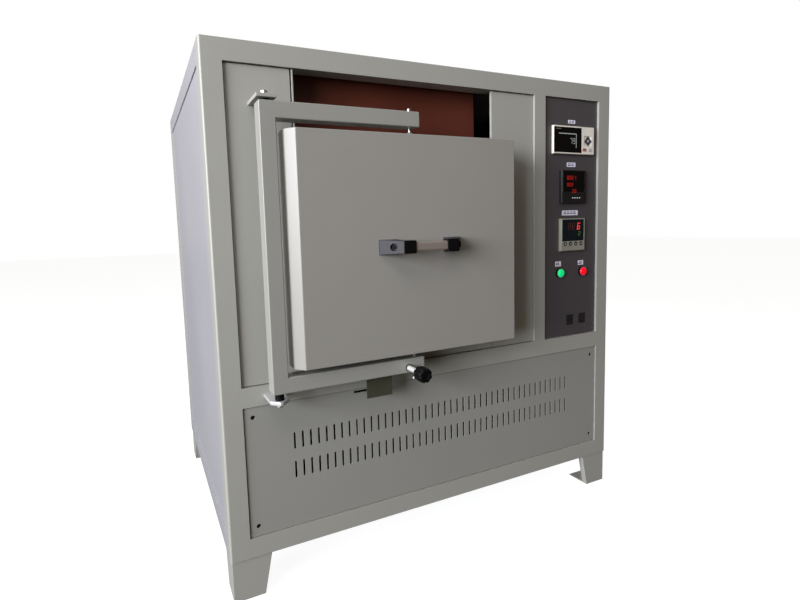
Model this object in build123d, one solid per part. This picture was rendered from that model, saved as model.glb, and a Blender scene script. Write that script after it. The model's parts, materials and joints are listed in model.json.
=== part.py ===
from build123d import *
import math
import os

# Chamber furnace: welded sheet-steel cabinet, fibre-lined chamber, and a door that hangs
# in a swinging C-arm.  Millimetres.  While modelling, x runs right from the cabinet's left
# side, y runs back from the face of the front frame, and z runs up from the floor.  place()
# then moves every piece so that the origin is the bottom centre of the whole furnace.

# ---- cabinet -------------------------------------------------------------------------
cab_w, cab_d, cab_h = 1185.0, 905.0, 1245.0
foot_h = 98.0            # clear height under the cabinet
member = 46.0            # side of the square frame members
mullion_w = 40.0         # upright between door bay and control recess
control_w = 211.0        # clear width of the control recess
access_h = 308.0         # clear height of the access opening in the base
wall = 2.0               # wall of every tube
sheet = 1.5              # panels and fascias
edge_r = 5.0             # outer bend of the corner posts
panel_gap = 1.6          # shadow gap round the front panels
lip_w, lip_t = 12.0, 3.0  # ledges that the front panels rest on
fit_gap = 0.3            # seat of panels that drop into the frame
recess = 6.5             # fascias and control plate lie this far behind the frame's face
inset = 3.0              # side, top and rear panels lie this far inside the frame
return_h = 15.0          # folded edge of the access panel

# ---- feet ----------------------------------------------------------------------------
foot_top, foot_sole = 92.0, 72.0
foot_wall = 2.5
foot_inset = 3.0
foot_return = 18.0

# ---- door and the arm that carries it -----------------------------------------------
door_cx, door_cz = 452.0, 798.0
door_to_hinge, door_to_lock = 286.0, 279.5   # face of the pan, each side of the pivots
door_below, door_above = 253.0, 255.0
door_t = 96.0
door_box = 68.0          # depth of the pan's wide front part
door_bevel_w, door_bevel_d = 19.0, 23.0     # bevel of the front edge beside the arm
door_neck_in = 5.0       # the neck behind the box lies inside the face's outline
door_back = 2.0          # the closed door's pan ends this far in front of the frame's face
door_skin = 2.0
ring_t = 5.0             # steel ring that holds the lining in the door
ring_over = 5.0
ring_band = 60.0
rope = 4.0               # square fibre rope round the ring
rope_corner_r = 14.0
plug_clear = 3.0         # at the plug's root, all round
plug_taper = 12.0        # each side, from root to tip
plug_len = 76.0

arm_w, arm_t, arm_wall = 35.0, 40.0, 3.0
arm_front = 80.0         # the arm's front lies this far in front of the frame's face
arm_over = 19.0          # gap between door and upper arm
arm_under = 14.0         # gap between door and lower arm
arm_tip = 17.0           # the arm runs this far past the door pivot
hinge_x = 115.5

hinge_bolt_r, hinge_head_af, hinge_head_h = 6.0, 13.0, 8.0
hinge_play = 0.05
hinge_collar_r = 10.0
hinge_plate_t, hinge_plate_w = 8.0, 42.0
hinge_space_top = 5.5    # between arm and upper hinge plate
hinge_space_bottom = 16.7
hinge_grip = 26.0        # length of bolt inside the arm
lower_plate_corner = 18.0

pivot_r, spigot_r = 5.0, 3.0
pivot_stub = 9.0         # pin above the upper arm and below the lower one
spigot_len = 18.0
spigot_play = 0.05
pivot_boss_r, pivot_boss_h = 9.0, 9.0
pivot_block = 32.0

# ---- handle --------------------------------------------------------------------------
handle_len, handle_end = 143.0, 31.0
handle_reach = 55.0
handle_foot = 36.0       # the sloped foot runs this far outwards
handle_end_h, handle_base_h = 29.0, 34.0
handle_rail_h, handle_rail_t = 21.0, 12.0
handle_rail_wall = 2.0
handle_leg_t = 10.0
handle_screw_r, handle_screw_sink = 6.5, 3.0
handle_shift, handle_lift = 1.0, 2.0

# ---- lock at the lower arm -----------------------------------------------------------
lock_x = 424.0
lock_drop = 4.0          # below the middle of the lower arm
screw_r, screw_play = 5.0, 0.05
screw_tail = 10.0        # screw reaches this far behind the frame's face
hub_r, hub_len = 6.5, 50.0
star_r, star_t, star_lobes = 19.5, 32.0, 8
star_scallop_r, star_shallow = 5.0, 0.45
tommy_r, tommy_len, tommy_back = 2.2, 38.0, 5.0
catch_r = 11.0
catch_bore_r, catch_depth = 7.0, 30.0
catch_face = 2.0         # behind the frame's face

# ---- door switch ---------------------------------------------------------------------
tab_x, tab_w, tab_t = 325.0, 67.0, 2.5
tab_setback = 26.0       # behind the arm's front
tab_reach = 14.0         # flange ends this far behind the frame's face
slot_over = 10.0         # slot is longer than the flange at each end
slot_h = 5.5
slot_below_rail = 6.0    # slot's top edge to the rail above
switch_w, switch_d, switch_h = 44.0, 26.0, 22.0
plunger_r = 3.0

# ---- vents ---------------------------------------------------------------------------
vent_w, vent_h = 4.8, 40.0
vent_pitch, vent_row_pitch = 19.81, 70.3
vent_cols, vent_rows = 44, 2
vent_left, vent_cz = 5.0, 318.3
vent_end = 0.3           # corner cut, as a share of the slot's width
rear_vent_cols, rear_vent_rows = 18, 1
rear_vent_pitch = 36.0
panel_screw_r, panel_screw_hole_r = 4.4, 5.0
panel_screw_in_x, panel_screw_in_z = 21.5, 25.0
panel_screw_sink = 1.5

# ---- furnace body --------------------------------------------------------------------
shell_w, shell_d = 552.0, 760.0
shell_back = 66.0        # its face lies this far behind the frame's face
shell_t = 2.0
shell_top_gap = 17.0
chamber_w, chamber_h, chamber_d = 340.0, 300.0, 620.0
collar_wall = 72.0       # fibre collar between shell and door
collar_gap = 0.3
bearer_spread = 418.0
hearth_t, hearth_margin = 10.0, 8.0
hearth_start = 150.0
roof_t = 150.0
element_r, shank_r = 3.0, 6.0
element_bend_r = 25.0
element_wall_gap = 18.0
element_pitch = 160.0
elements_per_side = 3
element_floor_gap = 34.0
shank_in_chamber = 20.0
shank_above_roof = 60.0
clamp_w, clamp_h = 22.0, 14.0
probe_r, probe_len = 4.0, 160.0
probe_below_roof = 60.0
probe_head_r, probe_head_h = 20.0, 34.0

left_strip_w, right_strip_gap = 144.0, 14.0
strip_return_left, strip_return_right = 30.0, 7.5
trim_t, trim_gap, trim_front = 3.5, 3.5, 4.5
sill_h, sill_return = 36.0, 12.0   # strip under the door, folded back at its top
sill_gap = 3.0           # joint between sill and right strip
catch_room = 1.5

# ---- instruments ---------------------------------------------------------------------
plate_t = 2.0
bezel_proud = 9.5
bezel_bevel = 1.5
recorder_w, recorder_h, recorder_d = 160.0, 80.0, 95.0
recorder_in, recorder_down = 109.0, 118.5
screen_w, screen_h, screen_margin = 107.5, 72.0, 1.0
pad_r, pad_x, pad_z = 14.0, 53.5, -0.5
rec_key_w, rec_key_h, rec_key_z = 13.0, 8.0, 26.5
rec_key_x1, rec_key_x2 = 40.0, 62.0
meter_side, meter_d = 96.0, 85.0
case_cutout = 92.0
meter_in, meter_down = 106.0, 253.0
meter_proud = 12.5
controller_in, controller_down = 107.0, 394.0
window_w, meter_window_h, window_h = 86.0, 60.0, 64.0
window_drop = 3.0
window_t = 1.2
ctrl_key_r, ctrl_key_pitch, ctrl_key_below = 6.0, 21.2, 27.0
ctrl_keys = 4
meter_key_w, meter_key_h, meter_key_below = 60.0, 9.0, 33.0
key_proud = 1.2
key_travel_gap = 2.0     # room behind a key
key_play = 0.3
lamp_down, lamp_in_1, lamp_in_2 = 507.0, 62.0, 153.0
lamp_bezel_r, lamp_bezel_t = 14.7, 7.0
lamp_cap_r, lamp_cap_proud, lamp_cap_t = 12.0, 13.0, 7.5
lamp_floor = 0.8         # left between the cap's bore and the plate
lamp_neck_r = 10.8       # through the plate's round hole
lamp_body_r, lamp_body_d = 14.0, 40.0

# ---- power section -------------------------------------------------------------------
tray_edge = 24.0
core_w, core_d, core_h = 220.0, 150.0, 190.0
core_x, core_y = 230.0, 330.0
coil_r = 48.0
core_leg = 44.0
sink_w, sink_d, sink_h, sink_fins = 150.0, 90.0, 170.0, 9
sink_x, sink_y = 640.0, 320.0
rail_x, rail_y, rail_len = 850.0, 300.0, 190.0
gland_r, gland_len, gland_in, gland_z = 20.0, 26.0, 225.0, 220.0

# ---- positions that follow from the sizes -------------------------------------------
mullion_x1 = cab_w - member - control_w
mullion_x0 = mullion_x1 - mullion_w
base_z = foot_h + member                  # top of the bottom rail
mid_z0 = base_z + access_h
mid_z1 = mid_z0 + member
top_z = cab_h - member                    # underside of the top rail
vent_cx = cab_w / 2 - vent_left
gland_x = cab_w - gland_in
recorder_cx, recorder_cz = mullion_x1 + recorder_in, top_z - recorder_down
meter_cx, meter_cz = mullion_x1 + meter_in, top_z - meter_down
controller_cx, controller_cz = mullion_x1 + controller_in, top_z - controller_down
lamp_x1, lamp_x2 = mullion_x1 + lamp_in_1, mullion_x1 + lamp_in_2
lamp_cz = top_z - lamp_down
inner_x = (member, cab_w - member)
inner_y = (member, cab_d - member)

door_front = door_back + door_t
door_neck = door_front - door_box         # where box and neck meet
door_x = (door_cx - door_to_hinge, door_cx + door_to_lock)
door_wide_x = (door_x[0] - door_bevel_w, door_x[1])
door_z = (door_cz - door_below, door_cz + door_above)
neck_x = (door_x[0] + door_neck_in, door_x[1] - door_neck_in)
neck_z = (door_z[0] + door_neck_in, door_z[1] - door_neck_in)
arm_y = (-arm_front, -arm_front + arm_t)
pivot_y = -arm_front + arm_t / 2
arm_x = (hinge_x - arm_w / 2, door_cx + arm_tip)
arm_z = (door_z[0] - arm_under - arm_w, door_z[1] + arm_over + arm_w)
lock_z = arm_z[0] + arm_w / 2 - lock_drop
star_front = arm_front + hub_len + star_t
slot_z = (mid_z0 - slot_below_rail - slot_h, mid_z0 - slot_below_rail)
tab_z = (slot_z[0] + slot_z[1] - tab_t) / 2

shell_x = (door_cx - shell_w / 2, door_cx + shell_w / 2)
shell_y = (shell_back, shell_back + shell_d)
shell_z = (mid_z1, top_z + member - shell_top_gap)
chamber_x = (door_cx - chamber_w / 2, door_cx + chamber_w / 2)
chamber_y = (shell_back, shell_back + chamber_d)
chamber_z = (door_cz - chamber_h / 2, door_cz + chamber_h / 2)
roof_z = chamber_z[1] + roof_t
plate_y = (recess, recess + plate_t)
access_y = inset                          # face of the access panel

origin = Vector(cab_w / 2, (cab_d + gland_len - star_front) / 2, 0)


# ---- helpers -------------------------------------------------------------------------
def block(x, y, z):
    """Box between pairs of coordinates."""
    size = [b - a for a, b in (x, y, z)]
    return Pos(*[(a + b) / 2 for a, b in (x, y, z)]) * Box(*size)


def rod_x(y, z, r, x):
    """Cylinder along x."""
    return Pos((x[0] + x[1]) / 2, y, z) * Rot(0, 90, 0) * Cylinder(r, x[1] - x[0])


def rod_y(x, z, r, y):
    """Cylinder along y."""
    return Pos(x, (y[0] + y[1]) / 2, z) * Rot(90, 0, 0) * Cylinder(r, y[1] - y[0])


def rod_z(x, y, r, z):
    """Cylinder along z."""
    return Pos(x, y, (z[0] + z[1]) / 2) * Cylinder(r, z[1] - z[0])


def prism_z(x, y, r, z, sides=8):
    """Few-sided rod along z, for what repeats out of sight."""
    return Pos(x, y, z[0]) * extrude(RegularPolygon(r, sides), z[1] - z[0])


def prism_y(x, z, r, y, sides=8):
    """Few-sided rod along y."""
    face = Plane.XZ * RegularPolygon(r, sides)
    return Pos(x, y[1], z) * extrude(face, y[1] - y[0])


def grow(span, by):
    """The pair widened by an amount at both ends."""
    return (span[0] - by, span[1] + by)


def tube(x, y, z, axis):
    """Square tube, open at the ends of its own axis."""
    spans = [grow(s, -wall) for s in (x, y, z)]
    spans["xyz".index(axis)] = grow((x, y, z)["xyz".index(axis)], wall)
    return block(x, y, z) - block(*spans)


def wedge_xz(points, y):
    """Prism of a polygon drawn in x and z, between two depths."""
    face = Plane.XZ * make_face(Polyline(*points, close=True))
    return Pos(0, y[1], 0) * extrude(face, y[1] - y[0])


def hex_z(x, y, across, z):
    """Hexagonal prism along z."""
    face = RegularPolygon(across / 2, 6, major_radius=False)
    return Pos(x, y, z[0]) * extrude(face, z[1] - z[0])


def group(*solids):
    """Separate solids kept side by side in one piece."""
    return Compound(children=list(solids))


# ---- frame ---------------------------------------------------------------------------
def corner_post(x, y, outer_x, outer_y):
    """Upright with its outer edge bent round and its upper end closed."""
    solid = block(x, y, (foot_h, cab_h))
    edge = [e for e in solid.edges().filter_by(Axis.Z)
            if abs(e.center().X - outer_x) < 1 and abs(e.center().Y - outer_y) < 1]
    solid = fillet(edge, edge_r)
    return solid - block(grow(x, -wall), grow(y, -wall), (foot_h - 1, cab_h - wall))


def ledges(x, z, y0, width, sides):
    """Bars round an opening that a panel rests against, keyed by side."""
    y = (y0, y0 + lip_t)
    bars = {"left": block((x[0], x[0] + width), y, z),
            "right": block((x[1] - width, x[1]), y, z),
            "top": block(grow(x, -width), y, (z[1] - lip_w, z[1])),
            "bottom": block(grow(x, -width), y, (z[0], z[0] + lip_w))}
    return {side: bars[side] for side in sides}


def front_frame():
    """Posts, rails and mullion of the front, with the panels' ledges."""
    y = (0, member)
    bay_z = (mid_z1, top_z)
    bay = ledges((member, mullion_x0), bay_z, recess + sheet, lip_w, ("left", "right"))
    control = ledges((mullion_x1, cab_w - member), bay_z, recess + plate_t, lip_w,
                     ("left", "right", "top", "bottom"))
    screw_lip = panel_screw_in_x + lip_w
    access = ledges(inner_x, (base_z, mid_z0), access_y + return_h, screw_lip,
                    ("left", "right", "top", "bottom"))
    notch = grow((tab_x, tab_x + tab_w), slot_over)
    access["top"] -= block(notch, (0, member), (mid_z0 - 2 * lip_w, mid_z0))
    for side, inner in (("left", inner_x[0]), ("right", inner_x[1])):
        inward = 1 if side == "left" else -1
        for z in (base_z + panel_screw_in_z, mid_z0 - panel_screw_in_z):
            access[side] -= prism_y(inner + inward * panel_screw_in_x, z, panel_screw_r,
                                    (0, member))
    posts = [corner_post((0, member), y, 0, 0) + bay["left"] + access["left"],
             corner_post((cab_w - member, cab_w), y, cab_w, 0) + control["right"]
             + access["right"]]
    rails = [tube(inner_x, y, (top_z, cab_h), "x") + control["top"],
             tube(inner_x, y, (mid_z0, mid_z1), "x") + control["bottom"] + access["top"],
             tube(inner_x, y, (foot_h, base_z), "x") + access["bottom"]]
    mullion = tube((mullion_x0, mullion_x1), y, bay_z, "z") + bay["right"] + control["left"]
    return group(*posts, *rails, mullion)


def rear_frame():
    """Posts and rails of the back."""
    y = (cab_d - member, cab_d)
    mid_y = (cab_d - member - inset - sheet - 2, cab_d - inset - sheet - 2)
    return group(corner_post((0, member), y, 0, cab_d),
                 corner_post((cab_w - member, cab_w), y, cab_w, cab_d),
                 tube(inner_x, y, (top_z, cab_h), "x"),
                 tube(inner_x, mid_y, (mid_z0, mid_z1), "x"),
                 tube(inner_x, y, (foot_h, base_z), "x"))


def long_rails():
    """Rails along both sides, and the two bearers under the furnace body."""
    rails = [tube(x, inner_y, z, "y")
             for x in ((0, member), (cab_w - member, cab_w))
             for z in ((foot_h, base_z), (top_z, cab_h))]
    bearer_y = (member, cab_d - member - inset - sheet - 2)
    for centre in grow((door_cx, door_cx), bearer_spread / 2):
        rails.append(tube(grow((centre, centre), member / 2), bearer_y, (mid_z0, mid_z1), "y"))
    return group(*rails)


def foot_body(inset_by, z):
    """Tapered block: its two inner sides slope in towards the sole."""
    solid = block((inset_by, foot_top), (inset_by, foot_top), z)
    slope = foot_top - foot_sole
    cut = [(foot_sole - inset_by, 0), (foot_top - inset_by, foot_h),
           (foot_top + slope, foot_h), (foot_top + slope, 0)]
    waste = wedge_xz(cut, (-1, foot_top + slope))
    return solid - waste - mirror(waste, Plane(origin=(0, 0, 0), z_dir=(1, -1, 0)))


def foot(mirror_x, mirror_y):
    """Folded foot: two tapered walls with narrow returns, and a sole."""
    solid = foot_body(0, (0, foot_h)) - foot_body(foot_wall, (foot_wall, foot_h + 1))
    open_corner = (foot_return, foot_top + 1)
    solid -= block(open_corner, open_corner, (foot_wall, foot_h + 1))
    solid = Pos(foot_inset, foot_inset, 0) * solid
    if mirror_x:
        solid = Pos(cab_w, 0, 0) * mirror(solid, Plane.YZ)
    if mirror_y:
        solid = Pos(0, cab_d, 0) * mirror(solid, Plane.XZ)
    return solid


def feet():
    """The four feet."""
    return group(*[foot(mx, my) for mx in (False, True) for my in (False, True)])


# ---- panels --------------------------------------------------------------------------
def side_panel(x_face, inward):
    """Pan that drops into a side frame."""
    y, z = grow(inner_y, -fit_gap), grow((base_z, top_z), -fit_gap)
    x = sorted((x_face, x_face + inward * return_h))
    hollow = sorted((x_face + inward * sheet, x_face + inward * (return_h + 1)))
    return block(x, y, z) - block(hollow, grow(y, -sheet), grow(z, -sheet))


def top_panel():
    """Pan that drops into the top of the frame."""
    x, y = grow(inner_x, -fit_gap), grow(inner_y, -fit_gap)
    face = cab_h - inset
    pan = block(x, y, (face - return_h, face))
    return pan - block(grow(x, -sheet), grow(y, -sheet), (face - return_h - 1, face - sheet))


def vent_cut(cx, cz, pitch, cols, rows, y):
    """Rows of upright slots, their ends drawn with three facets."""
    slot = chamfer(Rectangle(vent_w, vent_h).vertices(), vent_w * vent_end)
    slots = Sketch() + GridLocations(pitch, vent_row_pitch, cols, rows) * slot
    return Pos(cx, y[1], cz) * extrude(Plane.XZ * slots, y[1] - y[0])


def rear_panel():
    """Rear pan with vents low down and the hole for the cable gland."""
    x, z = grow(inner_x, -fit_gap), grow((base_z, top_z), -fit_gap)
    face = cab_d - inset
    pan = block(x, (face - sheet, face), z)
    pan -= vent_cut(cab_w / 2 - gland_x / 4, vent_cz, rear_vent_pitch, rear_vent_cols,
                    rear_vent_rows, (face - sheet - 1, face + 1))
    return pan - rod_y(gland_x, gland_z, gland_r * 0.75, (face - sheet - 1, face + 1))


def vent_panel():
    """Access panel: a folded pan with two rows of vents and the door switch's slot."""
    x = grow(inner_x, -panel_gap)
    z = grow((base_z, mid_z0), -panel_gap)
    y = (access_y, access_y + return_h)
    pan = block(x, y, z)
    pan -= block(grow(x, -sheet), (access_y + sheet, y[1] + 1), grow(z, -sheet))
    through = (access_y - 1, access_y + sheet + 1)
    pan -= vent_cut(vent_cx, vent_cz, vent_pitch, vent_cols, vent_rows, through)
    pan -= block(grow((tab_x, tab_x + tab_w), slot_over), through, slot_z)
    for sx, sz in screw_places():
        pan -= prism_y(sx, sz, panel_screw_hole_r, through)
    return pan


def screw_places():
    """Where the access panel is screwed down."""
    return [(sx, sz) for sx in grow(inner_x, -panel_screw_in_x)
            for sz in grow((base_z, mid_z0), -panel_screw_in_z)]


def panel_screws():
    """Four screws, sunk in the access panel."""
    y = (access_y + panel_screw_sink, access_y + return_h + lip_t)
    return group(*[prism_y(sx, sz, panel_screw_r, y) for sx, sz in screw_places()])


def floor_tray():
    """Tray of the power section, laid on the bottom rails."""
    x = grow(inner_x, -fit_gap)
    y = (tray_edge, cab_d - tray_edge)
    return block(x, y, (base_z, base_z + sheet))


def fascia_left():
    """Fixed strip left of the door, folded back at the bay."""
    x = (member + panel_gap, member + left_strip_w)
    z = grow((mid_z1, top_z), -panel_gap)
    strip = block(x, (recess, recess + sheet), z)
    return strip + block((x[1] - sheet, x[1]), (recess, recess + strip_return_left), z)


def fascia_right():
    """Fixed strip right of the door, folded back at the bay."""
    x = (shell_x[1] + right_strip_gap, mullion_x0 - panel_gap)
    z = grow((mid_z1, top_z), -panel_gap)
    strip = block(x, (recess, recess + sheet), z)
    return strip + block((x[0], x[0] + sheet), (recess, recess + strip_return_right), z)


def bay_trim():
    """Thin upright beside the furnace body, and the folded sill strip under the door."""
    x0 = member + left_strip_w + trim_gap
    trim = block((x0, x0 + trim_t), (trim_front, shell_back), grow((mid_z1, top_z), -panel_gap))
    x = (x0 + trim_t + panel_gap, shell_x[1] + right_strip_gap - sill_gap)
    z = (mid_z1 + panel_gap, mid_z1 + sill_h)
    sill = block(x, (recess, recess + sheet), z)
    sill += block(x, (recess, recess + sill_return), (z[1] - sheet, z[1]))
    sill -= prism_y(lock_x, lock_z, catch_r + catch_room, (recess - 1, recess + sheet + 1))
    return group(trim, sill)


# ---- furnace body --------------------------------------------------------------------
def inner_shell():
    """Primed steel case round the lining, with the mouth in its face."""
    case = block(shell_x, shell_y, shell_z)
    case -= block(grow(shell_x, -shell_t), grow(shell_y, -shell_t), grow(shell_z, -shell_t))
    case -= block(chamber_x, (shell_back - 1, shell_back + shell_t + 1), chamber_z)
    probe_z = chamber_z[1] - probe_below_roof
    return case - rod_y(door_cx, probe_z, probe_r, (shell_y[1] - shell_t - 1, shell_y[1] + 1))


def lining_floor():
    """Insulation under the chamber."""
    return block(grow(shell_x, -shell_t), grow(shell_y, -shell_t),
                 (shell_z[0] + shell_t, chamber_z[0]))


def lining_roof():
    """Insulation over the chamber, bored for the elements."""
    slab = block(grow(shell_x, -shell_t), grow(shell_y, -shell_t), (chamber_z[1], roof_z))
    for ex, ey in shank_places():
        slab -= prism_z(ex, ey, shank_r, (chamber_z[1] - 1, roof_z + 1))
    return slab


def lining_walls():
    """Insulation left, right and behind the chamber."""
    y = grow(shell_y, -shell_t)
    left = block((shell_x[0] + shell_t, chamber_x[0]), y, chamber_z)
    right = block((chamber_x[1], shell_x[1] - shell_t), y, chamber_z)
    back = block(chamber_x, (chamber_y[1], y[1]), chamber_z)
    back -= rod_y(door_cx, chamber_z[1] - probe_below_roof, probe_r, grow(chamber_y, shell_d))
    return group(left, right, back)


def mouth_collar():
    """Four fibre boards that carry the mouth forward to the door."""
    y = (-door_back + ring_t + collar_gap, shell_back)
    outer = grow(chamber_x, collar_wall)
    boards = [block(outer, y, (chamber_z[0] - collar_wall, chamber_z[0])),
              block(outer, y, (chamber_z[1], chamber_z[1] + collar_wall)),
              block((outer[0], chamber_x[0]), y, chamber_z),
              block((chamber_x[1], outer[1]), y, chamber_z)]
    return group(*boards)


def hearth_plate():
    """Loose plate on the chamber floor."""
    return block(grow(chamber_x, -hearth_margin), (hearth_start, chamber_y[1] - hearth_margin),
                 (chamber_z[0], chamber_z[0] + hearth_t))


def element_rows():
    """Places of the hairpin elements: x of the row, y of the middle."""
    rows = grow(chamber_x, -element_wall_gap)
    middle = (hearth_start + chamber_y[1]) / 2
    span = (elements_per_side - 1) / 2
    return [(ex, middle + (i - span) * element_pitch)
            for ex in rows for i in range(elements_per_side)]


def shank_places():
    """Places of both legs of every element."""
    return [(ex, ey + s * element_bend_r) for ex, ey in element_rows() for s in (-1, 1)]


def hairpin(ex, ey):
    """One element: thick shanks through the roof, thin legs and the rod that joins them."""
    low_z = chamber_z[0] + hearth_t + element_floor_gap
    neck_z = chamber_z[1] - shank_in_chamber
    reach = element_bend_r + element_r
    solid = block(grow((ex, ex), element_r), grow((ey, ey), reach), grow((low_z, low_z), element_r))
    for s in (-1, 1):
        ly = ey + s * element_bend_r
        solid += prism_z(ex, ly, element_r, (low_z, neck_z))
        solid += prism_z(ex, ly, shank_r, (neck_z, roof_z + shank_above_roof))
    return solid


def heating_elements():
    """All the hairpins."""
    return group(*[hairpin(ex, ey) for ex, ey in element_rows()])


def element_clamps():
    """Clamps on the shanks above the roof, joined in pairs by links."""
    z1 = roof_z + shank_above_roof - 4
    z = (z1 - clamp_h, z1)
    clamps = []
    for ex, ey in element_rows():
        y = grow((ey, ey), element_bend_r + clamp_w / 2)
        bar = block(grow((ex, ex), clamp_w / 2), y, z)
        bar -= block(grow((ex, ex), clamp_w), grow((ey, ey), element_bend_r - clamp_w / 2), z)
        for s in (-1, 1):
            bar -= prism_z(ex, ey + s * element_bend_r, shank_r, grow(z, 1))
        clamps += bar.solids()
    return group(*clamps)


def thermocouple():
    """Probe through the back wall with its terminal head."""
    z = chamber_z[1] - probe_below_roof
    y1 = shell_y[1]
    stem = rod_y(door_cx, z, probe_r, (y1 - probe_len, y1))
    head = rod_y(door_cx, z, probe_head_r, (y1, y1 + probe_head_h))
    return stem + head


# ---- door ----------------------------------------------------------------------------
def door_pan():
    """Painted pan of the door with the pivot blocks in its upper and lower edges."""
    pan = door_box_solid(0.0) - door_box_solid(door_skin)
    pan += block(neck_x, (-door_neck - door_skin, -door_back), neck_z)
    pan -= block(grow(neck_x, -door_skin), (-door_front + door_skin, -door_back + 1),
                 grow(neck_z, -door_skin))
    for z_edge, up in ((door_z[1], 1), (door_z[0], -1)):
        pan += pivot_block_solid(z_edge, up)
        boss = Cone(pivot_boss_r, spigot_r + 2, pivot_boss_h,
                    align=(Align.CENTER, Align.CENTER, Align.MIN))
        if up < 0:
            boss = Rot(180, 0, 0) * boss
        pan += Pos(door_cx, pivot_y, z_edge) * boss
        bore = sorted((z_edge + up * (pivot_boss_h + 1), z_edge - up * (spigot_len + 1)))
        pan -= rod_z(door_cx, pivot_y, spigot_r + spigot_play, bore)
    return pan


def door_box_solid(inward):
    """Wide front part of the door, bevelled beside the arm, or its inside."""
    x0, x1 = grow(door_wide_x, -inward)
    y0, y1 = -door_front + inward, -door_neck - inward
    outline = [(x0 + door_bevel_w, y0), (x1, y0), (x1, y1), (x0, y1), (x0, y0 + door_bevel_d)]
    height = door_z[1] - door_z[0] - 2 * inward
    slab = extrude(make_face(Polyline(*outline, close=True)), height / 2, both=True)
    return Pos(0, 0, sum(door_z) / 2) * slab


def pivot_block_solid(z_edge, up):
    """Steel block behind the door's edge that takes a pivot."""
    z = sorted((z_edge - up * door_skin / 2, z_edge - up * pivot_block))
    return block(grow((door_cx, door_cx), pivot_block / 2),
                 grow((pivot_y, pivot_y), pivot_block / 2), z)


def door_lining():
    """Fibre fill of the door, with the tapered plug that enters the mouth."""
    fill = block(grow(neck_x, -door_skin), (-door_front + door_skin, -door_back),
                 grow(neck_z, -door_skin))
    for z_edge, up in ((door_z[1], 1), (door_z[0], -1)):
        fill -= pivot_block_solid(z_edge, up)
    root_w, root_h = chamber_w - 2 * plug_clear, chamber_h - 2 * plug_clear
    root = Plane.XZ * Rectangle(root_w, root_h)
    tip = Plane.XZ * Rectangle(root_w - 2 * plug_taper, root_h - 2 * plug_taper)
    plug = loft([Pos(door_cx, -door_back, door_cz) * root,
                 Pos(door_cx, -door_back + plug_len, door_cz) * tip])
    return fill + plug


def door_ring():
    """Steel ring that holds the lining in the pan and seals on the collar."""
    y = (-door_back, -door_back + ring_t)
    ring = block(grow(door_x, ring_over), y, grow(door_z, ring_over))
    ring = fillet(ring.edges().filter_by(Axis.Y), rope_corner_r - rope)
    inner_x_span = grow(chamber_x, -plug_clear + ring_band / 4)
    inner_z_span = grow(chamber_z, -plug_clear + ring_band / 4)
    return ring - block(inner_x_span, grow(y, 1), inner_z_span)


def door_rope():
    """Square fibre rope laid round the ring."""
    y = (-door_back, -door_back + ring_t)
    inner = block(grow(door_x, ring_over), grow(y, 1), grow(door_z, ring_over))
    inner = fillet(inner.edges().filter_by(Axis.Y), rope_corner_r - rope)
    outer = block(grow(door_x, ring_over + rope), y, grow(door_z, ring_over + rope))
    outer = fillet(outer.edges().filter_by(Axis.Y), rope_corner_r)
    return outer - inner


def handle_legs():
    """Moulded ends of the handle, each with a sloped foot on the door."""
    half = handle_len / 2
    y0, y1 = -door_front - handle_reach, -door_front
    legs = []
    for s in (-1, 1):
        outline = [(s * (half - handle_end), y0), (s * half, y0),
                   (s * (half + handle_foot), y1 - 3), (s * (half + handle_foot), y1),
                   (s * (half - handle_leg_t), y1), (s * (half - handle_leg_t), y0 + handle_rail_t + 4),
                   (s * (half - handle_end), y0 + handle_rail_t + 4)]
        leg = extrude(make_face(Polyline(*outline, close=True)), handle_base_h / 2, both=True)
        cheek = [(y0 - 1, handle_end_h / 2), (y1 + 1, handle_base_h / 2)]
        for side in (-1, 1):
            points = [(cheek[0][0], side * cheek[0][1]), (cheek[1][0], side * cheek[1][1]),
                      (cheek[1][0], side * handle_base_h), (cheek[0][0], side * handle_base_h)]
            face = Plane.YZ * make_face(Polyline(*points, close=True))
            leg -= extrude(face, 2 * handle_len, both=True)
        slope = math.degrees(math.atan2(handle_reach - 3, handle_foot))
        seat = Pos(s * (half + handle_foot / 2), (y0 + y1 - 3) / 2, 0)
        recess_cut = seat * Rot(0, 0, s * (90 - slope)) * Rot(90, 0, 0) * Cylinder(
            handle_screw_r, 2 * handle_screw_sink)
        leg -= recess_cut
        sleeve = rod_free(s, half, y0)
        leg -= sleeve
        legs.append(Pos(door_cx + handle_shift, 0, door_cz + handle_lift) * leg)
    return group(*legs)


def rod_free(s, half, y0):
    """Pocket in a handle end that the rail is pushed into."""
    x = sorted((s * (half - handle_end - 1), s * (half - 8)))
    return block(x, (y0 + 2, y0 + 2 + handle_rail_t), (-handle_rail_h / 2, handle_rail_h / 2))


def handle_rail():
    """Flat aluminium tube of the handle."""
    half = handle_len / 2 - 8
    y0 = -door_front - handle_reach + 2
    rail = block((-half, half), (y0, y0 + handle_rail_t), (-handle_rail_h / 2, handle_rail_h / 2))
    rail = fillet(rail.edges().filter_by(Axis.X), 2.5)
    rail -= block((-half - 1, half + 1), grow((y0, y0 + handle_rail_t), -handle_rail_wall),
                  grow((-handle_rail_h / 2, handle_rail_h / 2), -handle_rail_wall))
    return Pos(door_cx + handle_shift, 0, door_cz + handle_lift) * rail


# ---- arm -----------------------------------------------------------------------------
def arm_member(outer, inner):
    """One mitred length of the arm, as outer and inner outlines in x and z."""
    return wedge_xz(outer, arm_y) - wedge_xz(inner, grow(arm_y, -arm_wall))


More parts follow.
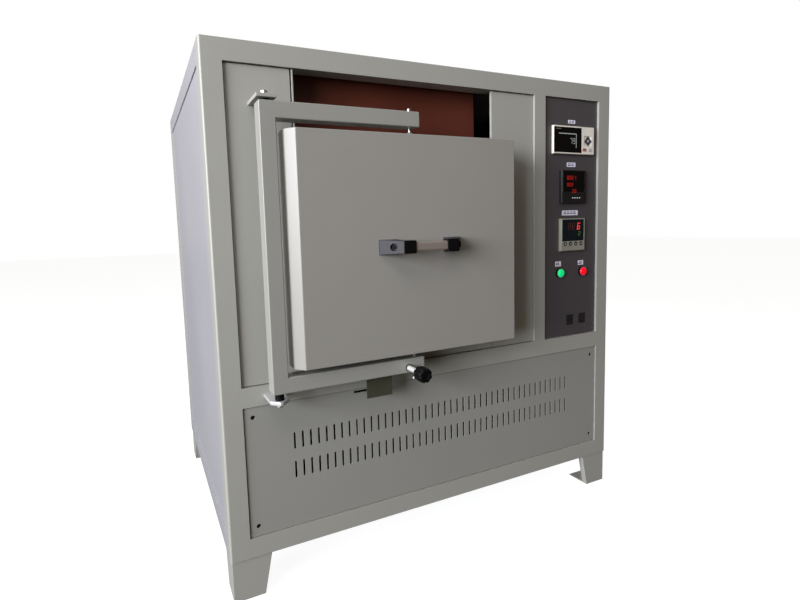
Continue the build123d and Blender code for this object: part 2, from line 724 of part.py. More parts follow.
def swing_arm():
    """C-shaped arm of three mitred tubes with the bores of hinge, pivots and lock."""
    (x0, x1), (z0, z1), w, t = arm_x, arm_z, arm_w, arm_wall
    upright = arm_member(
        [(x0, z0), (x0, z1), (x0 + w, z1 - w), (x0 + w, z0 + w)],
        [(x0 + t, z0 + t), (x0 + t, z1 - t), (x0 + w - t, z1 - w + t), (x0 + w - t, z0 + w - t)])
    upper = arm_member(
        [(x0, z1), (x1, z1), (x1, z1 - w), (x0 + w, z1 - w)],
        [(x0 + t, z1 - t), (x1 - t, z1 - t), (x1 - t, z1 - w + t), (x0 + w - t, z1 - w + t)])
    lower = arm_member(
        [(x0, z0), (x1, z0), (x1, z0 + w), (x0 + w, z0 + w)],
        [(x0 + t, z0 + t), (x1 - t, z0 + t), (x1 - t, z0 + w - t), (x0 + w - t, z0 + w - t)])
    hinge = rod_z(hinge_x, pivot_y, hinge_bolt_r + hinge_play, grow(arm_z, 1))
    pivots = rod_z(door_cx, pivot_y, pivot_r, grow(arm_z, 1))
    lock = rod_y(lock_x, lock_z, screw_r + screw_play, grow(arm_y, 1))
    return group(upright - hinge, upper - hinge - pivots, lower - hinge - pivots - lock)


def hinge_brackets():
    """Plates that hold the arm: one on the left strip, one on the middle rail."""
    x = grow((hinge_x, hinge_x), hinge_plate_w / 2)
    top_z0 = arm_z[1] + hinge_space_top
    low_z1 = arm_z[0] - hinge_space_bottom
    bore = rod_z(hinge_x, pivot_y, hinge_bolt_r, (low_z1 - 50, top_z0 + 50))
    upper = block(x, (-arm_front, recess), (top_z0, top_z0 + hinge_plate_t)) - bore
    lower = block(x, (-arm_front, 0), (low_z1 - hinge_plate_t, low_z1))
    corners = [e for e in lower.edges().filter_by(Axis.Z) if e.center().Y < -arm_front + 1]
    lower = chamfer(corners, lower_plate_corner) - bore
    return group(upper, lower)


def hinge_bolts():
    """Bolts, with spacing collars, on which the arm turns."""
    top_z0 = arm_z[1] + hinge_space_top
    low_z1 = arm_z[0] - hinge_space_bottom
    upper = rod_z(hinge_x, pivot_y, hinge_bolt_r, (arm_z[1] - hinge_grip, top_z0 + hinge_plate_t))
    upper += rod_z(hinge_x, pivot_y, hinge_collar_r, (arm_z[1] + fit_gap, top_z0))
    head_z = top_z0 + hinge_plate_t
    upper += hex_z(hinge_x, pivot_y, hinge_head_af, (head_z, head_z + hinge_head_h))
    lower = rod_z(hinge_x, pivot_y, hinge_bolt_r, (low_z1 - hinge_plate_t, arm_z[0] + hinge_grip))
    lower += rod_z(hinge_x, pivot_y, hinge_collar_r, (low_z1, arm_z[0] - fit_gap))
    foot_z = low_z1 - hinge_plate_t
    lower += hex_z(hinge_x, pivot_y, hinge_head_af, (foot_z - hinge_head_h, foot_z))
    return group(upper, lower)


def pivot_pins():
    """Stepped pins in the arm's ends on which the door turns."""
    upper = rod_z(door_cx, pivot_y, pivot_r, (arm_z[1] - arm_w, arm_z[1] + pivot_stub))
    upper += rod_z(door_cx, pivot_y, spigot_r, (door_z[1] - spigot_len, arm_z[1] - arm_w))
    lower = rod_z(door_cx, pivot_y, pivot_r, (arm_z[0] - pivot_stub / 3, arm_z[0] + arm_w))
    lower += rod_z(door_cx, pivot_y, spigot_r, (arm_z[0] + arm_w, door_z[0] + spigot_len))
    return group(upper, lower)


def interlock_tab():
    """Bent tab under the arm whose flange enters the slot in the access panel."""
    x = (tab_x, tab_x + tab_w)
    y0 = -arm_front + tab_setback
    leaf = block(x, (y0, y0 + tab_t), (tab_z, arm_z[0]))
    return leaf + block(x, (y0, tab_reach), (tab_z, tab_z + tab_t))


def interlock_switch():
    """Limit switch behind the slot, worked by the tab."""
    cx = tab_x + tab_w / 2
    y0 = tab_reach + fit_gap
    body_y = access_y + return_h + lip_t
    z = tab_z + tab_t / 2
    body = block(grow((cx, cx), switch_w / 2), (body_y, body_y + switch_d),
                 (z - switch_h / 2, mid_z0))
    return body + rod_y(cx, z, plunger_r, (y0, body_y))


# ---- lock ----------------------------------------------------------------------------
def lock_screw():
    """Screw and hub of the lock, with the tommy bar through the hub."""
    y_hub = (-arm_front - hub_len, -arm_front - fit_gap)
    screw = rod_y(lock_x, lock_z, screw_r, (y_hub[0] - star_t / 2, screw_tail))
    hub = rod_y(lock_x, lock_z, hub_r, y_hub)
    bar = Rot(0, -45, 0) * Cylinder(tommy_r, tommy_len)
    bar = Pos(lock_x, y_hub[0] + tommy_back, lock_z) * Rot(0, 90, 0) * bar
    return screw + hub + bar


def lock_knob():
    """Star knob."""
    y = (-star_front, -arm_front - hub_len)
    knob = Cylinder(star_r, star_t)
    for i in range(star_lobes):
        turn = math.radians(360 / star_lobes * i)
        reach = star_r + star_scallop_r * star_shallow
        scallop = extrude(RegularPolygon(star_scallop_r, 8), star_t, both=True)
        knob -= Pos(reach * math.cos(turn), reach * math.sin(turn), 0) * scallop
    knob -= Pos(0, 0, -star_t / 4) * Cylinder(screw_r, star_t / 2)
    return Pos(lock_x, (y[0] + y[1]) / 2, lock_z) * Rot(90, 0, 0) * knob


def lock_catch():
    """Catch on the furnace body that the lock screw enters."""
    catch = rod_y(lock_x, lock_z, catch_r, (catch_face, shell_back))
    return catch - rod_y(lock_x, lock_z, catch_bore_r, (catch_face - 1, catch_face + catch_depth))


# ---- instruments ---------------------------------------------------------------------
def panel_case(cx, cz, w, h, proud, depth, cut_w, cut_h):
    """Instrument case: bezel in front of the plate, body through its cut-out."""
    bezel = block(grow((cx, cx), w / 2), (plate_y[0] - proud, plate_y[0]),
                  grow((cz, cz), h / 2))
    bezel = chamfer(bezel.edges().group_by(Axis.Y)[0], bezel_bevel)
    body = block(grow((cx, cx), cut_w / 2), (plate_y[0], plate_y[1] + depth),
                 grow((cz, cz), cut_h / 2))
    return bezel + body


def key_well(x, z, y_face):
    """Room for a rectangular key and its travel."""
    return block(grow(x, key_play), (y_face - 1, y_face + key_proud + key_travel_gap),
                 grow(z, key_play))


rec_face = plate_y[0] - bezel_proud
rec_cut_w, rec_cut_h = recorder_w - 8, recorder_h - 8
rec_keys = {"recorder_pad": (pad_x, -pad_z, pad_r, pad_r),
            "recorder_red_key": (rec_key_x1, rec_key_z, rec_key_w / 2, rec_key_h / 2),
            "recorder_grey_key": (rec_key_x2, rec_key_z, rec_key_w / 2, rec_key_h / 2)}


def rec_key_spans(name):
    """x and z spans of a recorder key."""
    dx, dz, hw, hh = rec_keys[name]
    return (grow((recorder_cx + dx, recorder_cx + dx), hw),
            grow((recorder_cz - dz, recorder_cz - dz), hh))


def recorder_case():
    """Paperless recorder with the window's seat and the key wells."""
    case = panel_case(recorder_cx, recorder_cz, recorder_w, recorder_h, bezel_proud,
                      recorder_d, rec_cut_w, rec_cut_h)
    x, z = screen_spans()
    case -= block(x, (rec_face - 1, rec_face + window_t), z)
    for name in rec_keys:
        kx, kz = rec_key_spans(name)
        case -= key_well(kx, kz, rec_face)
    return case


def screen_spans():
    """x and z spans of the recorder's screen."""
    x0 = recorder_cx - recorder_w / 2 + screen_margin
    return (x0, x0 + screen_w), grow((recorder_cz, recorder_cz), screen_h / 2)


def recorder_screen():
    """Glass of the recorder."""
    x, z = screen_spans()
    return block(x, (rec_face, rec_face + window_t), z)


def recorder_key(name):
    """One key of the recorder; the pad is a diamond."""
    x, z = rec_key_spans(name)
    y = (rec_face - key_proud, rec_face + key_proud)
    if name != "recorder_pad":
        return block(x, y, z)
    cx, cz = (x[0] + x[1]) / 2, (z[0] + z[1]) / 2
    return wedge_xz([(cx, z[0]), (x[1], cz), (cx, z[1]), (x[0], cz)], y)


def square_case(cx, cz, proud, glass_h):
    """Square instrument with its window's seat."""
    case = panel_case(cx, cz, meter_side, meter_side, proud, meter_d, case_cutout, case_cutout)
    x, z = window_spans(cx, cz, glass_h)
    y_face = plate_y[0] - proud
    return case - block(x, (y_face - 1, y_face + window_t), z)


def window_spans(cx, cz, glass_h):
    """x and z spans of a square instrument's window."""
    z1 = cz + meter_side / 2 - window_drop
    return grow((cx, cx), window_w / 2), (z1 - glass_h, z1)


def window(cx, cz, proud, glass_h):
    """Window of a square instrument."""
    x, z = window_spans(cx, cz, glass_h)
    y_face = plate_y[0] - proud
    return block(x, (y_face, y_face + window_t), z)


def meter_case():
    """Over-temperature meter."""
    case = square_case(meter_cx, meter_cz, meter_proud, meter_window_h)
    x, z = meter_key_spans()
    y_face = plate_y[0] - meter_proud
    return case - block(x, (y_face - 1, y_face + window_t), z)


def meter_key_spans():
    """x and z spans of the meter's foil keys."""
    z = meter_cz - meter_key_below
    return grow((meter_cx, meter_cx), meter_key_w / 2), grow((z, z), meter_key_h / 2)


def meter_keys():
    """Foil key strip of the meter."""
    x, z = meter_key_spans()
    y_face = plate_y[0] - meter_proud
    return block(x, (y_face, y_face + window_t), z)


def ctrl_key_places():
    """Centres of the controller's keys."""
    span = (ctrl_keys - 1) / 2
    return [(controller_cx + (i - span) * ctrl_key_pitch, controller_cz - ctrl_key_below)
            for i in range(ctrl_keys)]


def controller_case():
    """Programme controller with its key wells."""
    case = square_case(controller_cx, controller_cz, bezel_proud, window_h)
    for kx, kz in ctrl_key_places():
        case -= rod_y(kx, kz, ctrl_key_r + key_play,
                      (rec_face - 1, rec_face + key_proud + key_travel_gap))
    return case


def controller_key(i):
    """Round key of the controller."""
    kx, kz = ctrl_key_places()[i]
    return rod_y(kx, kz, ctrl_key_r, (rec_face - key_proud, rec_face + key_proud))


def control_plate():
    """Plate of the control recess with its cut-outs."""
    x = grow((mullion_x1, cab_w - member), -panel_gap)
    plate = block(x, plate_y, grow((mid_z1, top_z), -panel_gap))
    through = grow(plate_y, 1)
    cutouts = [(recorder_cx, recorder_cz, rec_cut_w, rec_cut_h),
               (meter_cx, meter_cz, case_cutout, case_cutout),
               (controller_cx, controller_cz, case_cutout, case_cutout)]
    for cx, cz, w, h in cutouts:
        plate -= block(grow((cx, cx), w / 2), through, grow((cz, cz), h / 2))
    for lx in (lamp_x1, lamp_x2):
        plate -= rod_y(lx, lamp_cz, lamp_neck_r + key_play, through)
    return plate


def button_bodies():
    """Black rings, necks and contact blocks of both push-buttons."""
    bodies = []
    for lx in (lamp_x1, lamp_x2):
        ring = rod_y(lx, lamp_cz, lamp_bezel_r, (plate_y[0] - lamp_bezel_t, plate_y[0]))
        ring += rod_y(lx, lamp_cz, lamp_neck_r, plate_y)
        ring += block(grow((lx, lx), lamp_body_r), (plate_y[1], plate_y[1] + lamp_body_d),
                      grow((lamp_cz, lamp_cz), lamp_body_r))
        ring -= rod_y(lx, lamp_cz, lamp_cap_r + key_play,
                      (plate_y[0] - lamp_bezel_t - 1, plate_y[0] - lamp_floor))
        bodies.append(ring)
    return group(*bodies)


def button_cap(lx):
    """Cap of a push-button."""
    face = plate_y[0] - lamp_cap_proud
    return rod_y(lx, lamp_cz, lamp_cap_r, (face, face + lamp_cap_t))


# ---- power section -------------------------------------------------------------------
def transformer():
    """Laminated core with two windings."""
    z0 = base_z + sheet
    x, y = (core_x, core_x + core_w), (core_y, core_y + core_d)
    core = block(x, grow((core_y + core_d / 2, core_y + core_d / 2), core_leg / 2), (z0, z0 + core_h))
    core -= block(grow(x, -core_leg), y, grow((z0, z0 + core_h), -core_leg))
    for cx in grow(x, -core_leg / 2):
        core += prism_z(cx, core_y + core_d / 2, coil_r, grow((z0, z0 + core_h), -core_leg - 6))
    return core


def power_controller():
    """Finned heat sink with the power module on its face."""
    z0 = base_z + sheet
    x, z = (sink_x, sink_x + sink_w), (z0, z0 + sink_h)
    sink = block(x, (sink_y, sink_y + 12), z)
    pitch = (sink_w - 4) / (sink_fins - 1)
    for i in range(sink_fins):
        fx = sink_x + 2 + i * pitch
        sink += block(grow((fx, fx), 1.5), (sink_y + 12, sink_y + sink_d), z)
    module = block(grow(x, -25), (sink_y - 34, sink_y), grow(z, -30))
    return sink + module


def terminal_rail():
    """Mounting rail with terminal blocks."""
    z0 = base_z + sheet
    x = (rail_x, rail_x + rail_len)
    row = block(x, (rail_y, rail_y + 35), (z0, z0 + 8))
    blocks = 10
    pitch = rail_len / blocks
    for i in range(blocks):
        bx = rail_x + pitch * (i + 0.5)
        row += block(grow((bx, bx), pitch * 0.44), (rail_y - 6, rail_y + 41), (z0 + 8, z0 + 55))
    return row


def cable_gland():
    """Gland in the rear panel."""
    face = cab_d - inset
    nut = prism_y(gland_x, gland_z, gland_r, (face, face + gland_len / 3), 6)
    dome = rod_y(gland_x, gland_z, gland_r * 0.75, (face - gland_len / 2, cab_d + gland_len))
    return nut + dome - rod_y(gland_x, gland_z, gland_r * 0.4, (face - gland_len, cab_d + gland_len + 1))


# ---- build and write -----------------------------------------------------------------
def place(shape):
    """Move a piece from the cabinet's corner frame to the furnace's own frame."""
    return Pos(-origin.X, -origin.Y, 0) * shape


pieces = {
    "front_frame": front_frame(), "rear_frame": rear_frame(), "long_rails": long_rails(),
    "feet": feet(),
    "left_panel": side_panel(inset, 1), "right_panel": side_panel(cab_w - inset, -1),
    "top_panel": top_panel(), "rear_panel": rear_panel(), "vent_panel": vent_panel(),
    "panel_screws": panel_screws(), "floor_tray": floor_tray(),
    "fascia_left": fascia_left(), "fascia_right": fascia_right(), "bay_trim": bay_trim(),
    "inner_shell": inner_shell(), "lining_floor": lining_floor(), "lining_roof": lining_roof(),
    "lining_walls": lining_walls(), "mouth_collar": mouth_collar(),
    "hearth_plate": hearth_plate(), "heating_elements": heating_elements(),
    "element_clamps": element_clamps(), "thermocouple": thermocouple(),
    "door_pan": door_pan(), "door_lining": door_lining(), "door_ring": door_ring(),
    "door_rope": door_rope(), "handle_legs": handle_legs(), "handle_rail": handle_rail(),
    "swing_arm": swing_arm(), "pivot_pins": pivot_pins(), "interlock_tab": interlock_tab(),
    "hinge_brackets": hinge_brackets(), "hinge_bolts": hinge_bolts(),
    "interlock_switch": interlock_switch(),
    "lock_screw": lock_screw(), "lock_knob": lock_knob(), "lock_catch": lock_catch(),
    "control_plate": control_plate(), "recorder_case": recorder_case(),
    "recorder_screen": recorder_screen(),
    "meter_case": meter_case(),
    "meter_window": window(meter_cx, meter_cz, meter_proud, meter_window_h),
    "meter_keys": meter_keys(),
    "controller_case": controller_case(),
    "controller_window": window(controller_cx, controller_cz, bezel_proud, window_h),
    "button_bodies": button_bodies(),
    "green_button": button_cap(lamp_x1), "red_button": button_cap(lamp_x2),
    "transformer": transformer(), "power_controller": power_controller(),
    "terminal_rail": terminal_rail(), "cable_gland": cable_gland(),
}
for key_name in rec_keys:
    pieces[key_name] = recorder_key(key_name)
for number in range(ctrl_keys):
    pieces[f"controller_key_{number + 1}"] = controller_key(number)

os.makedirs("parts", exist_ok=True)
for name, shape in pieces.items():
    export_step(place(shape), f"parts/{name}.step")
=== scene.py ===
"""Finish of the chamber furnace: visible pieces, paints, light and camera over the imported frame."""
import json
import logging
import math
from dataclasses import dataclass
from enum import Enum
from typing import Iterable, Optional, Sequence, Union

import bmesh
import bpy
from mathutils import Matrix, Vector

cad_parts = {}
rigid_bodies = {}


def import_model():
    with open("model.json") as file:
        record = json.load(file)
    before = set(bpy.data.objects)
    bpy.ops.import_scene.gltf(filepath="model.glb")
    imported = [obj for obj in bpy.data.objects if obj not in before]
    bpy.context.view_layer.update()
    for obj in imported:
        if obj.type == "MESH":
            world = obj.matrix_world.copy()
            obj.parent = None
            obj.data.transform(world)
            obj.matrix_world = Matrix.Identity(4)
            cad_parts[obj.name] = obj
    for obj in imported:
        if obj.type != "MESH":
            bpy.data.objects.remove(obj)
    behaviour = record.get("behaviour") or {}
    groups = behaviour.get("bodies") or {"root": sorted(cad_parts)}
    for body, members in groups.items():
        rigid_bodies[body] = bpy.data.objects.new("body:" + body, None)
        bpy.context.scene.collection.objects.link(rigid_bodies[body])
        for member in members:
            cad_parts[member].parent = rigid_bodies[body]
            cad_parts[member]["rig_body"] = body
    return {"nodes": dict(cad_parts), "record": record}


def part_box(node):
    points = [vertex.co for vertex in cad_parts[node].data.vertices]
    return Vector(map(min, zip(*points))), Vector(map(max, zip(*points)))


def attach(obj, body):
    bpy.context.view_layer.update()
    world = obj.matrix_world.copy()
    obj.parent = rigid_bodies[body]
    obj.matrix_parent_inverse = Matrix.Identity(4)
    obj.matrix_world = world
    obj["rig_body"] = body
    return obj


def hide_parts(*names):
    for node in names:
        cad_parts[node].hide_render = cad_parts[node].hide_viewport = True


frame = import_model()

LOG = logging.getLogger("furnace")
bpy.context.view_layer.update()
MM = 0.001
HALF_WIDTH, MID_DEPTH = 592.5, 384.5
FLAT_ANGLE = math.radians(1.0)
ROUND_ANGLE = math.radians(40.0)
RIM_ANGLE = math.radians(50.0)
FLAT_FACE = 0.999
MERGE = 0.01
DOOR_PIVOT = (452.0, -60.0)
WHITE = (1.0, 1.0, 1.0, 1.0)
Span = tuple[float, float]
Colour = tuple[float, float, float]
Point = tuple[float, float, float]
Number = Union[int, float]


def cabinet_matrix() -> Matrix:
    """Map millimetres from the cabinet's lower left front corner to the frame's metres."""
    return Matrix.Scale(MM, 4) @ Matrix.Translation((-HALF_WIDTH, -MID_DEPTH, 0.0))


class Axis(Enum):
    """Direction that a prism or a turned piece lies along."""

    Y = 1
    Z = 2


# ---------------------------------------------------------------- shader wiring


class Wire:
    """A socket that takes part in arithmetic."""

    def __init__(self, graph: "Graph", socket: bpy.types.NodeSocket) -> None:
        """Keep the socket with the graph that new nodes go to."""
        self.graph = graph
        self.socket = socket

    def _math(self, operation: str, other: object) -> "Wire":
        """Add one Math node."""
        return self.graph.add("ShaderNodeMath", {"operation": operation}, {0: self, 1: other})

    def __add__(self, other: object) -> "Wire":
        """Return self + other."""
        return self._math("ADD", other)

    def __mul__(self, other: object) -> "Wire":
        """Return self * other."""
        return self._math("MULTIPLY", other)

    def most(self, other: object) -> "Wire":
        """Return the larger of both."""
        return self._math("MAXIMUM", other)


class Graph:
    """One material's or world's node tree."""

    def __init__(self, tree: bpy.types.NodeTree) -> None:
        """Empty the tree."""
        self.tree = tree
        tree.nodes.clear()

    def add(
        self,
        kind: str,
        settings: Optional[dict] = None,
        inputs: Optional[dict] = None,
        output: Union[int, str] = 0,
    ) -> Wire:
        """Make a node.

        Args:
            kind: The node's Blender type.
            settings: Attributes set first; "stops" fills a ramp.
            inputs: Values, or wires, of sockets by name or number.
            output: The socket that the wire starts from.

        Returns:
            The wire from that output.
        """
        node = self.tree.nodes.new(kind)
        for key, value in (settings or {}).items():
            if key == "stops":
                self._fill_ramp(node.color_ramp, value)
            else:
                setattr(node, key, value)
        for key, value in (inputs or {}).items():
            socket = node.inputs[key]
            if isinstance(value, Wire):
                self.tree.links.new(value.socket, socket)
            else:
                socket.default_value = value
        return Wire(self, node.outputs[output] if node.outputs else node.inputs[0])

    @staticmethod
    def _fill_ramp(ramp: bpy.types.ColorRamp, stops: Sequence[tuple[float, Number]]) -> None:
        """Give a ramp grey stops of (place, level)."""
        while len(ramp.elements) < len(stops):
            ramp.elements.new(0.5)
        for element, (place, level) in zip(ramp.elements, stops):
            element.position = place
            element.color = (level, level, level, 1.0)

    def place(self) -> Wire:
        """Return Object coordinates."""
        return self.add("ShaderNodeTexCoord", output="Object")

    def stretched(self, scale: tuple[float, float, float]) -> Wire:
        """Return Object coordinates scaled on each axis."""
        return self.add("ShaderNodeMapping", {}, {"Vector": self.place(), "Scale": scale})

    def noise(self, scale: float, detail: float = 3.0, vector: Optional[Wire] = None) -> Wire:
        """Return noise of a feature size 1/scale metres."""
        return self.add("ShaderNodeTexNoise", {}, {"Vector": vector or self.place(), "Scale": scale, "Detail": detail})

    def blend(self, share: object, first: object, second: object) -> Wire:
        """Mix two colours."""
        return self.add("ShaderNodeMix", {"data_type": "RGBA"}, {0: share, 6: first, 7: second}, output=2)

    def clouded(self, share: object, colour: Colour, low: float, high: float) -> Wire:
        """Drift a colour between a low and a high gain."""
        return self.blend(share, rgba(colour, low), rgba(colour, high))

    def ramp(self, value: Wire, stops: Sequence[tuple[float, Number]]) -> Wire:
        """Pass a value through a grey ramp."""
        return self.add("ShaderNodeValToRGB", {"stops": stops}, {0: value})

    def bump(self, height: Wire, distance: float) -> Wire:
        """Turn a height into a bumped normal."""
        return self.add("ShaderNodeBump", {}, {"Strength": 1.0, "Distance": distance, "Height": height})

    def surface(self, inputs: dict) -> Wire:
        """Return the Principled shader with these inputs."""
        return self.add("ShaderNodeBsdfPrincipled", {}, inputs)

    def light_path(self, output: str) -> Wire:
        """Return one output of the Light Path node."""
        return self.add("ShaderNodeLightPath", output=output)


def rgba(colour: Colour, gain: float = 1.0) -> tuple[float, float, float, float]:
    """Return a linear colour with full alpha."""
    return (colour[0] * gain, colour[1] * gain, colour[2] * gain, 1.0)


def linear(red: int, green: int, blue: int) -> Colour:
    """Return the linear colour of 8-bit display values."""

    def one(level: int) -> float:
        """Undo the display curve."""
        share = level / 255.0
        return share / 12.92 if share <= 0.04045 else ((share + 0.055) / 1.055) ** 2.4

    return one(red), one(green), one(blue)


# ---------------------------------------------------------------- finishes


@dataclass(frozen=True)
class Finish:
    """A named surface finish."""

    name: str
    colour: Colour

    def dress(self, graph: Graph) -> Wire:
        """Return the shader of this finish."""
        raise NotImplementedError

    def material(self) -> bpy.types.Material:
        """Return the finish's material, made once."""
        ready = bpy.data.materials.get(self.name)
        if ready:
            return ready
        made = bpy.data.materials.new(self.name)
        made.use_nodes = True
        made.diffuse_color = rgba(self.colour)
        graph = Graph(made.node_tree)
        shader = self.dress(graph)
        graph.add("ShaderNodeOutputMaterial", {}, {"Surface": shader})
        return made


@dataclass(frozen=True)
class Enamel(Finish):
    """Sprayed enamel with fine peel and slow drifts of tone."""

    roughness: float = 0.42
    peel: float = 0.00006
    drift: float = 0.05
    coat: float = 0.08

    def dress(self, graph: Graph) -> Wire:
        """Return painted sheet."""
        slow = graph.noise(2.2, 2.0)
        fine = graph.noise(420.0, 2.0)
        grime = graph.ramp(graph.noise(9.0, 5.0), [(0.45, 0.0), (0.75, 1.0)])
        tone = graph.clouded(slow, self.colour, 1.0 - self.drift, 1.0 + self.drift)
        tone = graph.blend(grime * 0.07, tone, rgba(self.colour, 0.72))
        return graph.surface({
            "Base Color": tone,
            "Roughness": slow * 0.10 + fine * 0.05 + (self.roughness - 0.075),
            "Coat Weight": self.coat,
            "Coat Roughness": 0.25,
            "Normal": graph.bump(fine, self.peel),
        })


@dataclass(frozen=True)
class Primer(Finish):
    """Dark primer, wiped on, with a dull sheen."""

    sheen: float = 0.32

    def dress(self, graph: Graph) -> Wire:
        """Return primed sheet."""
        streaks = graph.noise(7.0, 4.0, graph.stretched((1.0, 1.0, 0.25)))
        specks = graph.noise(260.0, 2.0)
        tone = graph.clouded(streaks, self.colour, 0.72, 1.35)
        return graph.surface({
            "Base Color": tone,
            "Roughness": streaks * 0.22 + self.sheen,
            "Normal": graph.bump(specks, 0.00008),
        })


@dataclass(frozen=True)
class Metal(Finish):
    """Bare or plated metal with faint scratches."""

    roughness: float = 0.3
    streak: tuple[float, float, float] = (60.0, 60.0, 900.0)
    dull: float = 0.0

    def dress(self, graph: Graph) -> Wire:
        """Return metal."""
        lines = graph.noise(1.0, 3.0, graph.stretched(self.streak))
        cloud = graph.noise(40.0, 3.0)
        tone = graph.clouded(cloud, self.colour, 0.85, 1.05)
        return graph.surface({
            "Base Color": tone,
            "Metallic": 1.0 - self.dull,
            "Roughness": lines * 0.14 + (self.roughness - 0.05),
            "Normal": graph.bump(lines, 0.00002),
        })


@dataclass(frozen=True)
class Moulded(Finish):
    """Moulded plastic with a spark-eroded grain."""

    roughness: float = 0.45
    grain: float = 0.00005
    coat: float = 0.0
    shine: float = 0.5

    def dress(self, graph: Graph) -> Wire:
        """Return moulded plastic."""
        cells = graph.noise(1500.0, 2.0)
        slow = graph.noise(30.0, 2.0)
        tone = graph.clouded(slow, self.colour, 0.9, 1.1)
        return graph.surface({
            "Base Color": tone,
            "Roughness": cells * 0.12 + (self.roughness - 0.06),
            "Specular IOR Level": self.shine,
            "Coat Weight": self.coat,
            "Normal": graph.bump(cells, self.grain),
        })


@dataclass(frozen=True)
class Fibre(Finish):
    """Ceramic fibre: felted, matt and slightly stained."""

    pile: float = 0.0006

    def dress(self, graph: Graph) -> Wire:
        """Return fibre board."""
        felt = graph.noise(300.0, 5.0)
        stain = graph.ramp(graph.noise(14.0, 4.0), [(0.4, 0.0), (0.8, 1.0)])
        tone = graph.clouded(felt, self.colour, 0.82, 1.05)
        tone = graph.blend(stain * 0.3, tone, rgba((self.colour[0], self.colour[1] * 0.9, self.colour[2] * 0.75), 0.8))
        return graph.surface(
            {"Base Color": tone, "Roughness": felt * 0.1 + 0.85, "Normal": graph.bump(felt, self.pile)}
        )


@dataclass(frozen=True)
class Braid(Finish):
    """Plaited fibre rope: short slanting strands."""

    def dress(self, graph: Graph) -> Wire:
        """Return plaited rope."""
        strands = graph.add(
            "ShaderNodeTexWave",
            {"wave_type": "BANDS", "bands_direction": "DIAGONAL"},
            {"Vector": graph.place(), "Scale": 160.0, "Distortion": 1.5, "Detail": 2.0},
            output="Fac",
        )
        tone = graph.clouded(strands, self.colour, 0.7, 1.05)
        return graph.surface(
            {"Base Color": tone, "Roughness": strands * 0.1 + 0.8, "Normal": graph.bump(strands, 0.0008)}
        )


@dataclass(frozen=True)
class Pane(Finish):
    """Dark tinted window of an instrument."""

    def dress(self, graph: Graph) -> Wire:
        """Return a window."""
        smear = graph.noise(60.0, 3.0)
        return graph.surface({
            "Base Color": graph.clouded(smear, self.colour, 0.8, 1.2),
            "Roughness": smear * 0.1 + 0.12,
            "Specular IOR Level": 0.2,
            "Coat Weight": 0.05,
        })


@dataclass(frozen=True)
class Glow(Finish):
    """Lit segment, cap or mark; on an unlit segment or a printed mark the glow is painted light."""

    strength: float = 1.0
    body: float = 0.5
    gloss: float = 0.35

    def dress(self, graph: Graph) -> Wire:
        """Return a lit surface."""
        spread = graph.noise(500.0, 1.0)
        return graph.surface({
            "Base Color": rgba(self.colour, self.body),
            "Roughness": self.gloss,
            "Emission Color": graph.clouded(spread, self.colour, 0.85, 1.1),
            "Emission Strength": self.strength,
        })


PAINT = Enamel("warm_grey_enamel", linear(163, 163, 158))
PAINT_FRAME = Enamel("warm_grey_enamel_frame", linear(162, 162, 157), drift=0.03)
# The door, arm and access panel take darker copies of the one grey enamel: painted shade.
SHADED_PAINT_DOOR = Enamel("warm_grey_enamel_door_painted_shade", linear(151, 149, 145), roughness=0.38)
SHADED_PAINT_ARM = Enamel("warm_grey_enamel_arm_painted_shade", linear(149, 149, 145), roughness=0.38, drift=0.03)
SHADED_PAINT_ACCESS = Enamel("warm_grey_enamel_access_painted_shade", linear(148, 148, 144), drift=0.03)
# The side enamel's blue tint is painted light: the cool window light on the cabinet's sides.
PAINT_SIDE_COOL_LIGHT = Enamel("grey_enamel_side_painted_cool_light", linear(162, 162, 169), roughness=0.34, drift=0.06)
PAINT_PLATE = Enamel("charcoal_enamel", linear(74, 70, 74), roughness=0.5, drift=0.04)
RED_OXIDE = Primer("red_oxide_primer", linear(86, 39, 28))
ZINC = Metal("zinc_plate", (0.62, 0.62, 0.60), roughness=0.38)
CHROME = Metal("polished_chrome", (0.94, 0.94, 0.95), roughness=0.16, dull=0.55)
# Bright zinc on the lower hinge plate is a painted highlight: the bracket is grey paint lit from the left.
ZINC_PAINTED_HIGHLIGHT = Metal("zinc_plate_painted_highlight", (0.70, 0.70, 0.72), roughness=0.34, dull=0.5)
ALUMINIUM = Metal("drawn_aluminium", (0.53, 0.46, 0.42), roughness=0.34, streak=(30.0, 900.0, 900.0), dull=0.35)
# Dark olive of the switch tab is painted shade: the shadow under the arm.
TAB_STEEL_PAINTED_SHADE = Metal("tab_steel_painted_shade", (0.115, 0.12, 0.085), roughness=0.45, dull=0.4)
BLACK = Moulded("black_moulding", linear(24, 24, 26), roughness=0.42)
BLACK_SOFT = Moulded("black_phenolic", linear(8, 8, 9), roughness=0.5, shine=0.16)
BLACK_BLOCK = Moulded("black_block_moulding", linear(10, 10, 10), roughness=0.55, shine=0.14)
BLACK_GRAIN = Moulded("black_grained_moulding", linear(50, 50, 56), roughness=0.6, grain=0.0004)
LIGHT_CASE = Moulded("light_grey_case", linear(230, 224, 216))
GREY_CASE = Moulded("mid_grey_case", linear(146, 145, 136))
KEY_GREY = Moulded("grey_key", linear(92, 98, 90))
KEY_RED = Moulded("red_key_cap", linear(166, 92, 82))
KEY_BLACK = Moulded("black_key", linear(10, 10, 12), roughness=0.5)
PAD_DARK = Moulded("slate_key", linear(52, 54, 66))
PLATE_BLACK = Moulded("black_plate", linear(26, 26, 27), roughness=0.6)
GLASS = Pane("tinted_window", linear(5, 5, 6))
GLASS_BLUE = Pane("tinted_window_blue", linear(20, 27, 33))
LABEL = Moulded("pale_label", linear(232, 230, 248), roughness=0.5)
INK = Moulded("label_ink", linear(70, 66, 96), roughness=0.6)
FIBRE = Fibre("ceramic_fibre", (0.72, 0.69, 0.62))
ROPE = Braid("fibre_rope", (0.70, 0.69, 0.64))
